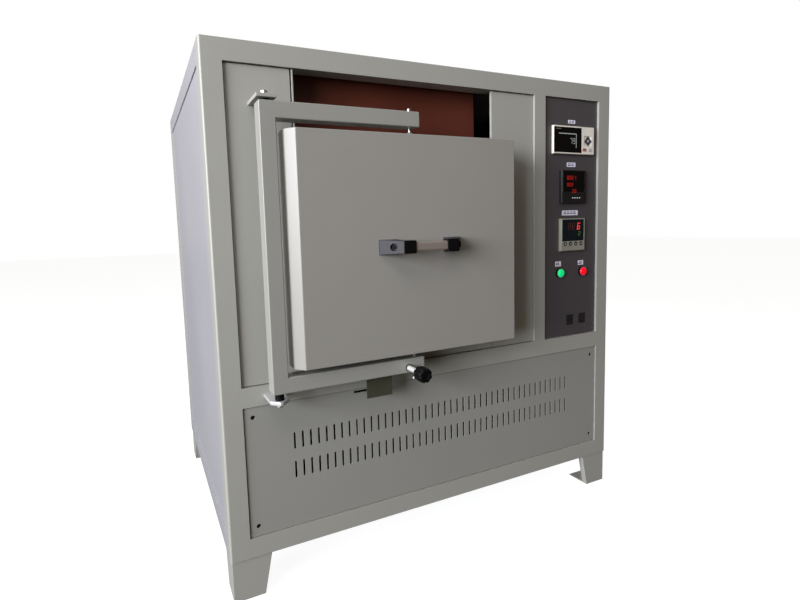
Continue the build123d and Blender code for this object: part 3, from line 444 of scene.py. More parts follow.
ELEMENT = Metal("silicide_rod", (0.22, 0.20, 0.19), roughness=0.6, dull=0.5)
RED_DIGIT = Glow("red_digit", linear(190, 26, 24), strength=0.8, body=0.3)
# Unlit segments given a dim glow: painted light on segments that are not lit.
RED_GHOST_PAINTED_GLOW = Glow("unlit_digit", linear(66, 24, 26), strength=0.6, body=0.4)
RED_BRIGHT = Glow("red_digit_bright", (1.0, 0.06, 0.05), strength=1.0, body=0.4)
GREEN_DIGIT = Glow("green_digit", linear(70, 120, 30), strength=0.7, body=0.4)
# Printed key marks given a glow: painted light.
PALE_MARK_PAINTED_GLOW = Glow("pale_mark_painted_glow", linear(200, 200, 215), strength=0.6, body=0.4)
GREY_MARK = Glow("grey_mark", linear(150, 156, 152), strength=0.6, body=0.4)
GREY_FAINT = Glow("faint_mark", linear(108, 108, 106), strength=0.6, body=0.4)
GREEN_LAMP = Glow("green_lens", linear(20, 222, 130), strength=0.6, body=0.7, gloss=0.14)
RED_LAMP = Glow("red_lens", linear(246, 12, 34), strength=0.62, body=0.8, gloss=0.14)


# ---------------------------------------------------------------- shaping


class Stock:
    """Solid shapes in millimetres from the cabinet's lower left front corner."""

    def __init__(self) -> None:
        """Start empty."""
        self.bm = bmesh.new()

    def soften(self, edges: Iterable[bmesh.types.BMEdge], radius: float, segments: int) -> None:
        """Bevel edges to a radius."""
        chosen = [edge for edge in edges if edge.is_valid]
        if chosen and radius > 0:
            bmesh.ops.bevel(
                self.bm, geom=chosen, offset=radius, offset_type="OFFSET", segments=segments,
                affect="EDGES", profile=0.5, material=-1, clamp_overlap=True,
            )

    def block(self, x: Span, y: Span, z: Span, radius: float = 0.0, segments: int = 2) -> "Stock":
        """Add a box, rounded on every edge.

        Args:
            x: Extent across.
            y: Extent in depth.
            z: Extent upwards.
            radius: Rounding of the edges.
            segments: Facets in each rounding.

        Returns:
            This stock.
        """
        size = [b - a for a, b in (x, y, z)]
        middle = [(a + b) / 2 for a, b in (x, y, z)]
        made = bmesh.ops.create_cube(self.bm, size=1.0)["verts"]
        bmesh.ops.scale(self.bm, vec=size, verts=made)
        bmesh.ops.translate(self.bm, vec=middle, verts=made)
        self.soften({edge for vert in made for edge in vert.link_edges}, radius, segments)
        return self

    def prism(
        self, outline: Sequence[tuple[float, float]], axis: Axis, span: Span, radius: float = 0.0, segments: int = 2
    ) -> "Stock":
        """Add a prism of an outline.

        Args:
            outline: Corners, in the two other axes in order.
            axis: Direction of the prism.
            span: Its extent along that axis.
            radius: Rounding of its edges.
            segments: Facets in each rounding.

        Returns:
            This stock.
        """
        others = [i for i in range(3) if i != axis.value]
        verts = []
        for a, b in outline:
            at = [0.0, 0.0, 0.0]
            at[others[0]], at[others[1]], at[axis.value] = a, b, span[0]
            verts.append(self.bm.verts.new(at))
        face = self.bm.faces.new(verts)
        made = bmesh.ops.extrude_face_region(self.bm, geom=[face])["geom"]
        moved = [item for item in made if isinstance(item, bmesh.types.BMVert)]
        shift = [0.0, 0.0, 0.0]
        shift[axis.value] = span[1] - span[0]
        bmesh.ops.translate(self.bm, vec=shift, verts=moved)
        both = set(verts) | set(moved)
        faces = {f for v in both for f in v.link_faces}
        bmesh.ops.recalc_face_normals(self.bm, faces=list(faces))
        self.soften({edge for vert in both for edge in vert.link_edges}, radius, segments)
        return self

    def turned(
        self, axis: Axis, centre: tuple[float, float], profile: Sequence[tuple[float, float]], sides: int = 48
    ) -> "Stock":
        """Add a piece turned about an axis.

        Args:
            axis: Direction of its axis.
            centre: Place of the axis, in the two other axes in order.
            profile: Points of (radius, place along the axis), from axis to axis.
            sides: Facets round it.

        Returns:
            This stock.
        """
        others = [i for i in range(3) if i != axis.value]
        spine, out = Vector((0, 0, 0)), Vector((0, 0, 0))
        spine[axis.value], out[others[0]] = 1.0, 1.0
        base = Vector((0, 0, 0))
        base[others[0]], base[others[1]] = centre
        verts = [self.bm.verts.new(base + out * r + spine * t) for r, t in profile]
        edges = [self.bm.edges.new(pair) for pair in zip(verts, verts[1:])]
        made = bmesh.ops.spin(
            self.bm, geom=verts + edges, cent=base, axis=spine, dvec=(0, 0, 0),
            angle=2 * math.pi, steps=sides, use_merge=True, use_duplicate=False,
        )
        near = {v for f in self.bm.faces for v in f.verts} | set(verts)
        bmesh.ops.remove_doubles(self.bm, verts=list(near), dist=1e-4)
        self.face_out()
        return self

    def shifted(self, vector: Sequence[float], turn: Matrix) -> "Stock":
        """Turn all of it about the origin, then move it."""
        verts = self.bm.verts[:]
        bmesh.ops.rotate(self.bm, verts=verts, cent=(0, 0, 0), matrix=turn)
        bmesh.ops.translate(self.bm, vec=vector, verts=verts)
        return self

    def plus(self, other: "Stock") -> "Stock":
        """Put another stock beside this one."""
        spare = bpy.data.meshes.new("spare")
        other.bm.to_mesh(spare)
        self.bm.from_mesh(spare)
        bpy.data.meshes.remove(spare)
        return self

    def minus(self, cutter: "Stock") -> "Stock":
        """Cut another stock out of this one.

        Args:
            cutter: What is taken away.

        Returns:
            This stock.
        """
        pair = []
        for name, stock in (("work", self), ("cutter", cutter)):
            mesh = bpy.data.meshes.new(name)
            stock.bm.to_mesh(mesh)
            made = bpy.data.objects.new(name, mesh)
            bpy.context.scene.collection.objects.link(made)
            pair.append(made)
        cut = pair[0].modifiers.new("cut", "BOOLEAN")
        cut.operation, cut.solver, cut.object = "DIFFERENCE", "EXACT", pair[1]
        bpy.context.view_layer.update()
        depsgraph = bpy.context.evaluated_depsgraph_get()
        result = bpy.data.meshes.new_from_object(pair[0].evaluated_get(depsgraph))
        self.bm.clear()
        self.bm.from_mesh(result)
        for made in pair:
            mesh = made.data
            bpy.data.objects.remove(made)
            bpy.data.meshes.remove(mesh)
        bpy.data.meshes.remove(result)
        return self

    def flatten(self) -> None:
        """Join the faces that lie in one plane."""
        bmesh.ops.dissolve_limit(
            self.bm, angle_limit=FLAT_ANGLE, use_dissolve_boundaries=False,
            verts=self.bm.verts[:], edges=self.bm.edges[:], delimit=set(),
        )

    def face_out(self) -> None:
        """Turn every face outwards."""
        bmesh.ops.recalc_face_normals(self.bm, faces=self.bm.faces[:])

    def eased(self, radius: float, segments: int, angle: float) -> "Stock":
        """Round every edge sharper than an angle."""
        bmesh.ops.remove_doubles(self.bm, verts=self.bm.verts[:], dist=MERGE / 10)
        self.flatten()
        limit = math.radians(angle)
        sharp = [e for e in self.bm.edges if len(e.link_faces) == 2 and e.calc_face_angle(0.0) > limit]
        self.soften(sharp, radius, segments)
        return self

    def piece(
        self,
        name: str,
        finish: Finish,
        body: str = "cabinet",
        stands_for: Sequence[str] = (),
        slot: Optional[str] = None,
        smooth: float = 35.0,
        bend: float = 0.0,
        segments: int = 2,
    ) -> None:
        """Turn the stock into a scene piece.

        Args:
            name: Name of the piece.
            finish: Its finish.
            body: CAD body that carries it.
            stands_for: CAD nodes that it replaces.
            slot: Material slot of the record; not used.
            smooth: Angle in degrees past which an edge stays sharp.
            bend: Rounding, in millimetres, of every edge past 40 degrees.
            segments: Facets in that rounding.
        """
        bmesh.ops.transform(self.bm, matrix=cabinet_matrix(), verts=self.bm.verts[:])
        mesh = bpy.data.meshes.new(name)
        self.bm.to_mesh(mesh)
        self.bm.free()
        for polygon in mesh.polygons:
            polygon.use_smooth = bend <= 0 or max(map(abs, polygon.normal)) < FLAT_FACE
        if bend <= 0:
            mesh.set_sharp_from_angle(angle=math.radians(smooth))
        mesh.materials.append(finish.material())
        made = bpy.data.objects.new(name, mesh)
        bpy.context.scene.collection.objects.link(made)
        if bend > 0:
            rounding = made.modifiers.new("bend", "BEVEL")
            rounding.width, rounding.segments = bend * MM, segments
            rounding.limit_method, rounding.angle_limit = "ANGLE", ROUND_ANGLE
            rounding.harden_normals = True
        else:
            weighted = made.modifiers.new("weighted", "WEIGHTED_NORMAL")
            weighted.keep_sharp = True
        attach(made, body)
        if stands_for:
            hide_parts(*stands_for)
        LOG.info("%s: %d faces on %s", name, len(mesh.polygons), body)

    def instead(self, node: str, name: str, finish: Finish, **rounding: float) -> None:
        """Show the stock in place of a CAD node, on its body."""
        self.piece(name, finish, body_name(node), [node], slot_name(node), **rounding)

    def beside(self, node: str, name: str, finish: Finish) -> None:
        """Show the stock as a detail of a CAD node, on its body."""
        self.piece(name, finish, body_name(node), (), slot_name(node))


def copied(node: str) -> Stock:
    """Return a merged copy of a CAD node, its flat faces joined.

    Args:
        node: Name of the node.

    Returns:
        The stock.
    """
    stock = Stock()
    bm = stock.bm
    bm.from_mesh(frame["nodes"][node].data)
    bmesh.ops.transform(bm, matrix=cabinet_matrix().inverted(), verts=bm.verts[:])
    bmesh.ops.remove_doubles(bm, verts=bm.verts[:], dist=MERGE)
    stock.flatten()
    stock.face_out()
    return stock


def body_name(node: str) -> str:
    """Return the CAD body that a node rides on."""
    return frame["nodes"][node]["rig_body"]


def slot_name(node: str) -> str:
    """Return the record's material slot of a node."""
    for entry in frame["record"]["subparts"]:
        if entry["node"] == node:
            return entry["material_slot"]
    raise KeyError(node)


def local_box(node: str) -> tuple[Vector, Vector]:
    """Return the lowest and highest corner of a CAD node in the cabinet's millimetres."""
    inverse = cabinet_matrix().inverted()
    low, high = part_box(node)
    return inverse @ low, inverse @ high


def refinish(node: str, finish: Finish, radius: float = 0.0, segments: int = 2) -> None:
    """Dress a CAD node, or a softened copy of it where a radius is given.

    Args:
        node: Name of the node.
        finish: Its finish.
        radius: Rounding of the copy in millimetres; 0 keeps the node itself.
        segments: Facets in each rounding.
    """
    if radius > 0:
        copied(node).instead(node, f"{node}_shell", finish, bend=radius, segments=segments)
        return
    shown = frame["nodes"][node]
    shown.data.materials.clear()
    shown.data.materials.append(finish.material())
    LOG.info("%s: dressed as packed", node)


class Assembly:
    """Group of pieces, of which the dressed ones only take a finish."""

    dressed: tuple[tuple, ...] = ()

    def build(self) -> None:
        """Make the shaped pieces and dress the rest."""
        self.make()
        for row in self.dressed:
            refinish(*row)
        LOG.info("%s done", type(self).__name__)

    def make(self) -> None:
        """Make the pieces that have a shape of their own here."""


# ---------------------------------------------------------------- cabinet


@dataclass
class Cabinet(Assembly):
    """Welded frame, its panels and its feet."""

    across: tuple[float, ...] = (0.0, 46.0, 888.0, 928.0, 1139.0, 1185.0)
    upward: tuple[float, ...] = (98.0, 144.0, 452.0, 498.0, 1199.0, 1245.0)
    depth: float = 46.0
    corner_bend: float = 5.0
    tube_bend: float = 1.8
    screw_edge: float = 3.2
    dressed = (
        ("rear_frame", PAINT_FRAME), ("long_rails", PAINT_SIDE_COOL_LIGHT, 1.2), ("feet", PAINT_FRAME, 0.8),
        ("left_panel", PAINT_SIDE_COOL_LIGHT, 1.0), ("right_panel", PAINT_SIDE_COOL_LIGHT, 1.0), ("top_panel", PAINT, 1.0),
        ("rear_panel", PAINT, 0.3, 1), ("vent_panel", SHADED_PAINT_ACCESS, 0.45), ("floor_tray", ZINC, 0.3, 1),
        ("fascia_left", PAINT, 0.6), ("fascia_right", PAINT, 0.6), ("bay_trim", PAINT_FRAME, 0.5),
    )

    @staticmethod
    def in_front(bm: bmesh.types.BMesh) -> list[bmesh.types.BMEdge]:
        """List the edges that lie in the front plane."""
        return [edge for edge in bm.edges if all(vert.co.y < MERGE for vert in edge.verts)]

    def make(self) -> None:
        """Make the front frame and the screws."""
        self.front()
        self.screws()

    def open_cell(self, column: int, row: int) -> bool:
        """Tell whether a cell of the front grid is an opening."""
        if column in (0, 4) or row in (0, 2, 4):
            return False
        return not (column == 2 and row == 3)

    def front(self) -> None:
        """Make the front frame as one welded and ground piece."""
        stock = Stock()
        bm = stock.bm
        bmesh.ops.create_grid(bm, x_segments=5, y_segments=5, size=2.5)
        cells = {}
        for face in bm.faces:
            middle = face.calc_center_median()
            cells[face] = (int(round(middle.x + 2.0)), int(round(middle.y + 2.0)))
        bmesh.ops.delete(bm, geom=[f for f, (c, r) in cells.items() if self.open_cell(c, r)], context="FACES")
        for vert in bm.verts:
            column, row = int(round(vert.co.x + 2.5)), int(round(vert.co.y + 2.5))
            vert.co = Vector((self.across[column], 0.0, self.upward[row]))
        made = bmesh.ops.extrude_face_region(bm, geom=bm.faces[:])["geom"]
        back = [item for item in made if isinstance(item, bmesh.types.BMVert)]
        bmesh.ops.translate(bm, vec=(0.0, self.depth, 0.0), verts=back)
        stock.face_out()
        sides = (self.across[0], self.across[-1])
        corners = [e for e in self.in_front(bm) if e.verts[0].co.x == e.verts[1].co.x in sides]
        stock.soften(corners, self.corner_bend, 4)
        rims = [e for e in self.in_front(bm) if e.calc_face_angle(0.0) > RIM_ANGLE]
        stock.soften(rims, self.tube_bend, 3)
        stock.instead("front_frame", "front_frame_shell", PAINT_FRAME)

    def screws(self) -> None:
        """Sink a recessed screw in each corner of the access panel."""
        near, far = local_box("panel_screws")
        edge = self.screw_edge
        stock = Stock()
        for x in (near.x + edge, far.x - edge):
            for z in (near.z + edge, far.z - edge):
                stock.plus(Stock().turned(
                    Axis.Y, (x, z),
                    [(0, 12.0), (3.2, 12.0), (3.2, 4.9), (2.9, 4.6), (1.2, 4.6), (0.9, 5.8), (0, 6.0)], 32,
                ))
        # The screw heads are black; that black also stands in for the shade inside their holes.
        stock.instead("panel_screws", "panel_screw_heads", BLACK)


class FurnaceBody(Assembly):
    """Primed casing, lining and heating parts."""

    dressed = (
        ("inner_shell", RED_OXIDE, 1.5), ("lining_floor", FIBRE), ("lining_roof", FIBRE), ("lining_walls", FIBRE),
        ("mouth_collar", FIBRE), ("hearth_plate", FIBRE), ("heating_elements", ELEMENT),
        ("element_clamps", ALUMINIUM), ("thermocouple", FIBRE), ("lock_catch", ZINC, 0.6),
    )


class PowerSection(Assembly):
    """What shows through the vents."""

    dressed = (
        ("transformer", RED_OXIDE), ("power_controller", ALUMINIUM), ("terminal_rail", BLACK),
        ("interlock_switch", BLACK, 0.5), ("cable_gland", BLACK, 0.5),
    )


# ---------------------------------------------------------------- door and arm


@dataclass
class SwingArm(Assembly):
    """C-arm of rectangular tube, its pins and the switch tab."""

    x: Span = (98.0, 469.0)
    y: Span = (-80.0, -40.0)
    z: Span = (496.0, 1107.0)
    width: float = 35.0
    bend: float = 2.6

    def make(self) -> None:
        """Make the arm with its pins and its tab."""
        self.tubes()
        self.pins()
        self.tab()

    def tubes(self) -> None:
        """Make the three mitred tubes as one welded piece."""
        (x0, x1), (z0, z1), w = self.x, self.z, self.width
        outline = [
            (x0, z0), (x1, z0), (x1, z0 + w), (x0 + w, z0 + w),
            (x0 + w, z1 - w), (x1, z1 - w), (x1, z1), (x0, z1),
        ]
        stock = Stock().prism(outline, Axis.Y, self.y, self.bend, 3)
        stock.instead("swing_arm", "swing_arm_shell", SHADED_PAINT_ARM)

    def pins(self) -> None:
        """Turn both stepped pivot pins with their weld beads."""
        upper = Stock().turned(
            Axis.Z, DOOR_PIVOT,
            [(0, 1036.0), (3.0, 1036.0), (3.0, 1071.5), (5.0, 1072.0), (5.0, 1106.0), (7.0, 1106.0),
             (6.6, 1107.6), (5.0, 1108.6), (5.0, 1115.2), (4.2, 1116.0), (0, 1116.0)],
        )
        lower = Stock().turned(
            Axis.Z, DOOR_PIVOT,
            [(0, 562.0), (3.0, 562.0), (3.0, 532.5), (5.6, 531.2), (5.6, 500.0), (5.0, 496.5), (5.0, 493.6),
             (4.4, 493.0), (0, 493.0)],
        )
        upper.plus(lower).instead("pivot_pins", "pivot_pins_shell", ZINC)

    def tab(self) -> None:
        """Cut the switch tab's leaf and weld the narrow flange behind it."""
        # The tab's dark olive finish is painted shade.
        stock = Stock().block((325.0, 392.0), (-54.0, -51.5), (442.0, 496.0), 0.4)
        stock.block((353.0, 392.0), (-52.0, 14.0), (442.0, 444.5), 0.3)
        stock.instead("interlock_tab", "interlock_tab_shell", TAB_STEEL_PAINTED_SHADE)


@dataclass
class HingeSet(Assembly):
    """Plates and bolts that carry the arm."""

    x: float = 115.5
    y: float = -60.0
    reach: Span = (-80.0, 6.5)
    top: Span = (1112.5, 1120.5)
    low: Span = (471.3, 479.3)
    half: float = 21.0
    hexagon: float = 7.5

    def make(self) -> None:
        """Make the plates and the bolts."""
        self.plates()
        self.bolts()

    def plates(self) -> None:
        """Cut both plates from bar."""
        span = (self.x - self.half, self.x + self.half)
        stock = Stock().block(span, self.reach, self.top, 1.0)
        front, back, cut = self.reach[0], 0.0, 18.0
        outline = [
            (span[0], back), (span[0], front + cut), (span[0] + cut, front),
            (span[1] - cut, front), (span[1], front + cut), (span[1], back),
        ]
        stock.instead("hinge_brackets", "hinge_brackets_shell", PAINT_FRAME)
        # The lower plate's bright zinc is a painted highlight.
        low = Stock().prism(outline, Axis.Z, self.low, 1.0)
        low.beside("hinge_brackets", "hinge_bracket_low", ZINC_PAINTED_HIGHLIGHT)

    def bolt_head(self, base: float, height: float) -> Stock:
        """Make a chamfered hexagon head from base to base + height."""
        corners = [
            (self.x + self.hexagon * math.cos(turn), self.y + self.hexagon * math.sin(turn))
            for turn in map(math.radians, range(15, 375, 60))
        ]
        low, high = sorted((base, base + height))
        return Stock().prism(corners, Axis.Z, (low, high), 0.7)

    def bolts(self) -> None:
        """Make both bolts with their spacing collars."""
        at = (self.x, self.y)
        upper = self.bolt_head(self.top[1], 8.0)
        upper.plus(Stock().turned(Axis.Z, at, [(0, 1081.0), (6.0, 1081.0), (6.0, 1121.0), (0, 1121.0)]))
        lower = self.bolt_head(self.low[0], -8.0)
        lower.plus(Stock().turned(Axis.Z, at, [(0, 471.0), (6.0, 471.0), (6.0, 522.0), (0, 522.0)]))
        upper.plus(lower).instead("hinge_bolts", "hinge_bolts_shell", ZINC)
        # The collars are real spacers; their soft black is painted shade, the shadow in the slits under the hinge
        # plates.
        collars = Stock().turned(
            Axis.Z, at,
            [(6.0, 1107.3), (9.6, 1107.3), (10.0, 1107.7), (10.0, 1112.1), (9.6, 1112.5), (6.0, 1112.5), (6.0, 1107.3)],
        )
        collars.plus(Stock().turned(
            Axis.Z, at,
            [(6.0, 479.4), (10.0, 479.4), (10.0, 486.8), (9.4, 487.3), (10.0, 487.8), (10.0, 495.3), (9.6, 495.7),
             (6.0, 495.7), (6.0, 479.4)],
        ))
        collars.beside("hinge_bolts", "hinge_collars_painted_shade", BLACK_SOFT)


@dataclass
class Door(Assembly):
    """Bevelled pan, lining, ring and rope of the door."""

    x: Span = (147.0, 731.5)
    z: Span = (545.0, 1053.0)
    front: float = -98.0
    step: float = -30.0
    back: float = -2.0
    bevel: Span = (19.0, 23.0)
    inward: float = 5.0
    dressed = (("door_ring", PAINT_PLATE, 0.8), ("door_rope", ROPE, 0.9), ("door_lining", FIBRE))

    def make(self) -> None:
        """Fold the wide box with its bevel, add the neck behind it and the pivot bosses."""
        (x0, x1), (wide, deep) = self.x, self.bevel
        outline = [
            (x0 + wide, self.front), (x1, self.front), (x1, self.step), (x0, self.step), (x0, self.front + deep),
        ]
        stock = Stock().prism(outline, Axis.Z, self.z, 1.8, 3)
        inner_x = (x0 + wide + self.inward, x1 - self.inward)
        inner_z = (self.z[0] + self.inward, self.z[1] - self.inward)
        stock.plus(Stock().block(inner_x, (self.step - 6.0, self.back), inner_z, 1.0))
        for edge, way in ((self.z[1], 1.0), (self.z[0], -1.0)):
            stock.plus(Stock().turned(
                Axis.Z, DOOR_PIVOT,
                [(0, edge), (9.0, edge), (9.0, edge + 5.0 * way), (7.0, edge + 7.0 * way),
                 (5.2, edge + 9.0 * way), (0, edge + 9.0 * way)],
            ))
        stock.instead("door_pan", "door_pan_shell", SHADED_PAINT_DOOR)


@dataclass
class Handle(Assembly):
    """Bridge handle of the door."""

    x: float = 453.0
    z: float = 800.0
    half: float = 71.5
    end: float = 31.0
    foot: float = 36.0
    front: float = -153.0
    base: float = -98.0
    end_height: float = 29.0
    base_height: float = 34.0
    rail: Span = (-151.0, -139.0)
    rail_height: float = 21.0
    lip: float = 4.0
    pocket: float = 0.42

    def make(self) -> None:
        """Make both ends with their pockets, and the grip between them."""
        legs, caps, screws, cups = Stock(), Stock(), Stock(), Stock()
        for way in (-1.0, 1.0):
            middle, turn = self.seat(way)
            legs.plus(self.leg(way))
            caps.plus(self.cap(way))
            screws.plus(Stock().turned(
                Axis.Y, (0.0, 0.0),
                [(0, 5.6), (1.6, 5.6), (1.9, 4.6), (4.0, 4.8), (4.6, 5.8), (4.6, 7.6), (0, 7.6)], 32,
            ).shifted(middle, turn))
            # Black cups lining the screw pockets: painted shade in the pockets.
            cups.plus(Stock().turned(
                Axis.Y, (0.0, 0.0),
                [(0, 7.9), (6.4, 7.9), (6.8, 7.0), (7.5, 0.1), (8.2, 0.1), (8.0, 8.6), (0, 8.6)], 40,
            ).shifted(middle, turn))
        legs.instead("handle_legs", "handle_legs_shell", BLACK_GRAIN)
        caps.beside("handle_legs", "handle_end_caps", BLACK_BLOCK)
        self.tube()
        screws.beside("handle_legs", "handle_screws", BLACK_SOFT)
        cups.beside("handle_legs", "handle_pocket_shade_cups", BLACK_SOFT)

    def seat(self, way: float) -> tuple[Vector, Matrix]:
        """Return the middle of a sloped end's pocket and the turn of its axis."""
        drop = self.base - self.lip - self.front
        middle = Vector((self.x + way * (self.half + self.foot * self.pocket), self.front + self.pocket * drop, self.z))
        return middle, Matrix.Rotation(way * (math.pi / 2 - math.atan2(drop, self.foot)), 3, "Z")

    def leg(self, way: float) -> Stock:
        """Make one sloped end.

        Args:
            way: -1 for the left end, 1 for the right.

        Returns:
            Its stock.
        """
        half, foot, root = self.half, self.foot, self.half - self.end + 3.0
        outline = [
            (self.x + way * across, y) for across, y in (
                (half - 1.0, self.front + 0.6), (half + foot, self.base - self.lip), (half + foot, self.base),
                (half - 10.0, self.base), (half - 10.0, self.front + 16.0), (root, self.front + 16.0),
                (root, self.front + 3.0), (half - 4.0, self.front + 0.8),
            )
        ]
        stock = Stock().prism(outline, Axis.Z, (self.z - self.base_height / 2, self.z + self.base_height / 2))
        for vert in stock.bm.verts:
            reach = (vert.co.y - self.base) / (self.front - self.base)
            level = self.base_height + (self.end_height - 2.0 - self.base_height) * reach
            vert.co.z = self.z + math.copysign(level / 2, vert.co.z - self.z)
        pocket = Stock().turned(Axis.Y, (0.0, 0.0), [(0, -12.0), (8.6, -12.0), (7.6, 7.0), (0, 7.0)], 40)
        stock.minus(pocket.shifted(*self.seat(way)))
        return stock.eased(1.4, 3, 30.0)

    def cap(self, way: float) -> Stock:
        """Make the square block at the end of the grip."""
        near, far = self.x + way * (self.half - self.end), self.x + way * self.half
        span = (min(near, far), max(near, far))
        height = (self.z - self.end_height / 2, self.z + self.end_height / 2)
        return Stock().block(span, (self.front, self.front + 17.0), height, 1.6, 3)

    def tube(self) -> None:
        """Make the flattened tube of the grip."""
        half = self.half - 8.0
        low, high = self.z - self.rail_height / 2, self.z + self.rail_height / 2
        stock = Stock().block((self.x - half, self.x + half), self.rail, (low, high))
        long_edges = [e for e in stock.bm.edges if abs(e.verts[0].co.x - e.verts[1].co.x) > 1.0]
        stock.soften(long_edges, 4.5, 5)
        stock.instead("handle_rail", "handle_rail_shell", ALUMINIUM)


@dataclass
class Lock(Assembly):
    """Star knob, hub, screw and tommy bar."""

    x: float = 424.0
    z: float = 509.5
    hub_front: float = -130.0
    radius: float = 17.4
    lobes: int = 8
    sides: int = 96

    def make(self) -> None:
        """Make the screw and the knob."""
        self.screw()
        self.knob()

    def screw(self) -> None:
        """Turn the hub and screw, and pass the bar through the hub."""
        at = (self.x, self.z)
        stock = Stock().turned(
            Axis.Y, at,
            [(0, -146.0), (5.0, -146.0), (5.0, -130.0), (5.7, -130.0), (6.5, -129.2), (6.5, -82.0), (5.9, -81.2),
             (5.9, -80.6), (5.0, -80.3), (5.0, 8.0), (3.0, 10.0), (0, 10.0)],
        )
        bar = Stock().turned(
            Axis.Z, (0.0, 0.0),
            [(0, -19.0), (1.4, -19.0), (2.2, -18.2), (2.2, 18.2), (1.4, 19.0), (0, 19.0)], 24,
        )
        bar.shifted((self.x, self.hub_front + 5.0, self.z), Matrix.Rotation(math.radians(45.0), 3, "Y"))
        stock.plus(bar).instead("lock_screw", "lock_screw_shell", CHROME)
        washer = Stock().turned(
            Axis.Y, at, [(6.2, -83.4), (7.6, -83.4), (8.0, -83.0), (8.0, -80.8), (6.2, -80.8), (6.2, -83.4)],
        )
        washer.beside("lock_screw", "lock_washer", BLACK_SOFT)

    def knob(self) -> None:
        """Make the lobed knob with a domed face."""
        stock = Stock()
        bm = stock.bm
        rings = [
            (0.80, 0.0), (0.93, 1.6), (1.0, 5.0), (1.0, 26.0), (0.95, 29.6), (0.84, 31.4), (0.5, 32.0), (0.46, 31.0),
        ]
        last = None
        for scale, back in rings:
            verts = bmesh.ops.create_circle(bm, cap_ends=False, segments=self.sides, radius=1.0)["verts"]
            for vert in verts:
                angle = math.atan2(vert.co.y, vert.co.x)
                dip = max(0.0, math.cos(angle * self.lobes)) ** 1.6
                reach = self.radius * scale * (1.0 - 0.13 * dip)
                vert.co = Vector((
                    self.x + reach * math.cos(angle), self.hub_front - back, self.z + reach * math.sin(angle)
                ))
            edges = list({e for v in verts for e in v.link_edges})
            if last:
                bmesh.ops.bridge_loops(bm, edges=last + edges)
            else:
                bmesh.ops.contextual_create(bm, geom=edges)
            last = edges
        bmesh.ops.contextual_create(bm, geom=last)
        stock.face_out()
        stock.instead("lock_knob", "lock_knob_shell", BLACK_SOFT, smooth=50.0)


# ---------------------------------------------------------------- instruments


SEGMENTS = {
    "0": "abcdef", "1": "bc", "2": "abged", "3": "abgcd", "4": "fgbc", "5": "afgcd", "6": "afgedc",
    "7": "abc", "8": "abcdefg", "9": "abcdfg",
}


@dataclass
class Readout:
    """Row of seven-segment digits on a window."""

    y: float
    slant: float = 0.0
    proud: float = 0.12
    stroke: float = 0.11
    share: float = 0.66

    def bars(self, text: str, left: float, bottom: float, height: float, pitch: float) -> Stock:
        """Make the lit bars of a number.

        Args:
            text: Digits; a blank skips a place.
            left: Left edge of the first digit.
            bottom: Foot of the digits.
            height: Height of a digit.
            pitch: Distance from digit to digit.

        Returns:
            The bars.
        """
        stock = Stock()
        width, thick = pitch * self.share, height * self.stroke
        y = (self.y - self.proud, self.y)
        top, half = bottom + height, bottom + height / 2
        for place, sign in enumerate(text):
            x0 = left + place * pitch
            x1 = x0 + width
            shapes = {
                "a": ((x0, x1), (top - thick, top)),
                "d": ((x0, x1), (bottom, bottom + thick)),
                "g": ((x0, x1), (half - thick / 2, half + thick / 2)),
                "f": ((x0, x0 + thick), (half, top)),
                "e": ((x0, x0 + thick), (bottom, half)),
                "b": ((x1 - thick, x1), (half, top)),
                "c": ((x1 - thick, x1), (bottom, half)),
            }
            for key in SEGMENTS.get(sign, ""):
                bar_x, bar_z = shapes[key]
                stock.block(bar_x, y, bar_z, 0.04, 1)
        for vert in stock.bm.verts:
            vert.co.x += self.slant * (vert.co.z - bottom)
        return stock


@dataclass
class ControlPlate(Assembly):
    """Plate of the control recess with its small plates.

    A label is (x, z, width, height, words); a blank plate is (x, z).
    """

    y: float = 6.5
    labels: tuple[tuple, ...] = (
        (1034.6, 1134.6, 28.0, 10.0, 2), (1033.8, 1011.0, 34.6, 13.0, 2), (1030.6, 869.7, 63.5, 14.6, 4),
        (984.7, 719.4, 23.0, 14.5, 1), (1076.2, 718.6, 22.0, 13.6, 1),
    )
    lines: tuple[Span, ...] = ((-0.26, -0.06), (0.08, 0.26))
    blanks: tuple[Span, ...] = ((1032.8, 546.2), (1083.0, 547.0))
    dressed = (("control_plate", PAINT_PLATE, 0.4, 1),)

    def make(self) -> None:
        """Cut the labels with their neutral lines, and the blank plates."""
        labels, ink, blanks = Stock(), Stock(), Stock()
        for x, z, w, h, words in self.labels:
            labels.block((x - w / 2, x + w / 2), (self.y - 0.35, self.y), (z - h / 2, z + h / 2), 0.15, 1)
            pitch = w * 0.8 / words
            for word in range(words):
                left = x - w * 0.4 + pitch * word
                for line, (low, high) in enumerate(self.lines):
                    ink.block(
                        (left + 1.6 * line, left + pitch * 0.78), (self.y - 0.5, self.y - 0.3),
                        (z + low * h, z + high * h), 0.02, 1,
                    )
        for x, z in self.blanks:
            blanks.block((x - 14.0, x + 14.0), (self.y - 0.8, self.y), (z - 15.5, z + 15.5), 0.3, 1)
        labels.piece("name_plates", LABEL)
        ink.piece("name_plate_lines", INK)
        blanks.piece("blank_plates", PLATE_BLACK)


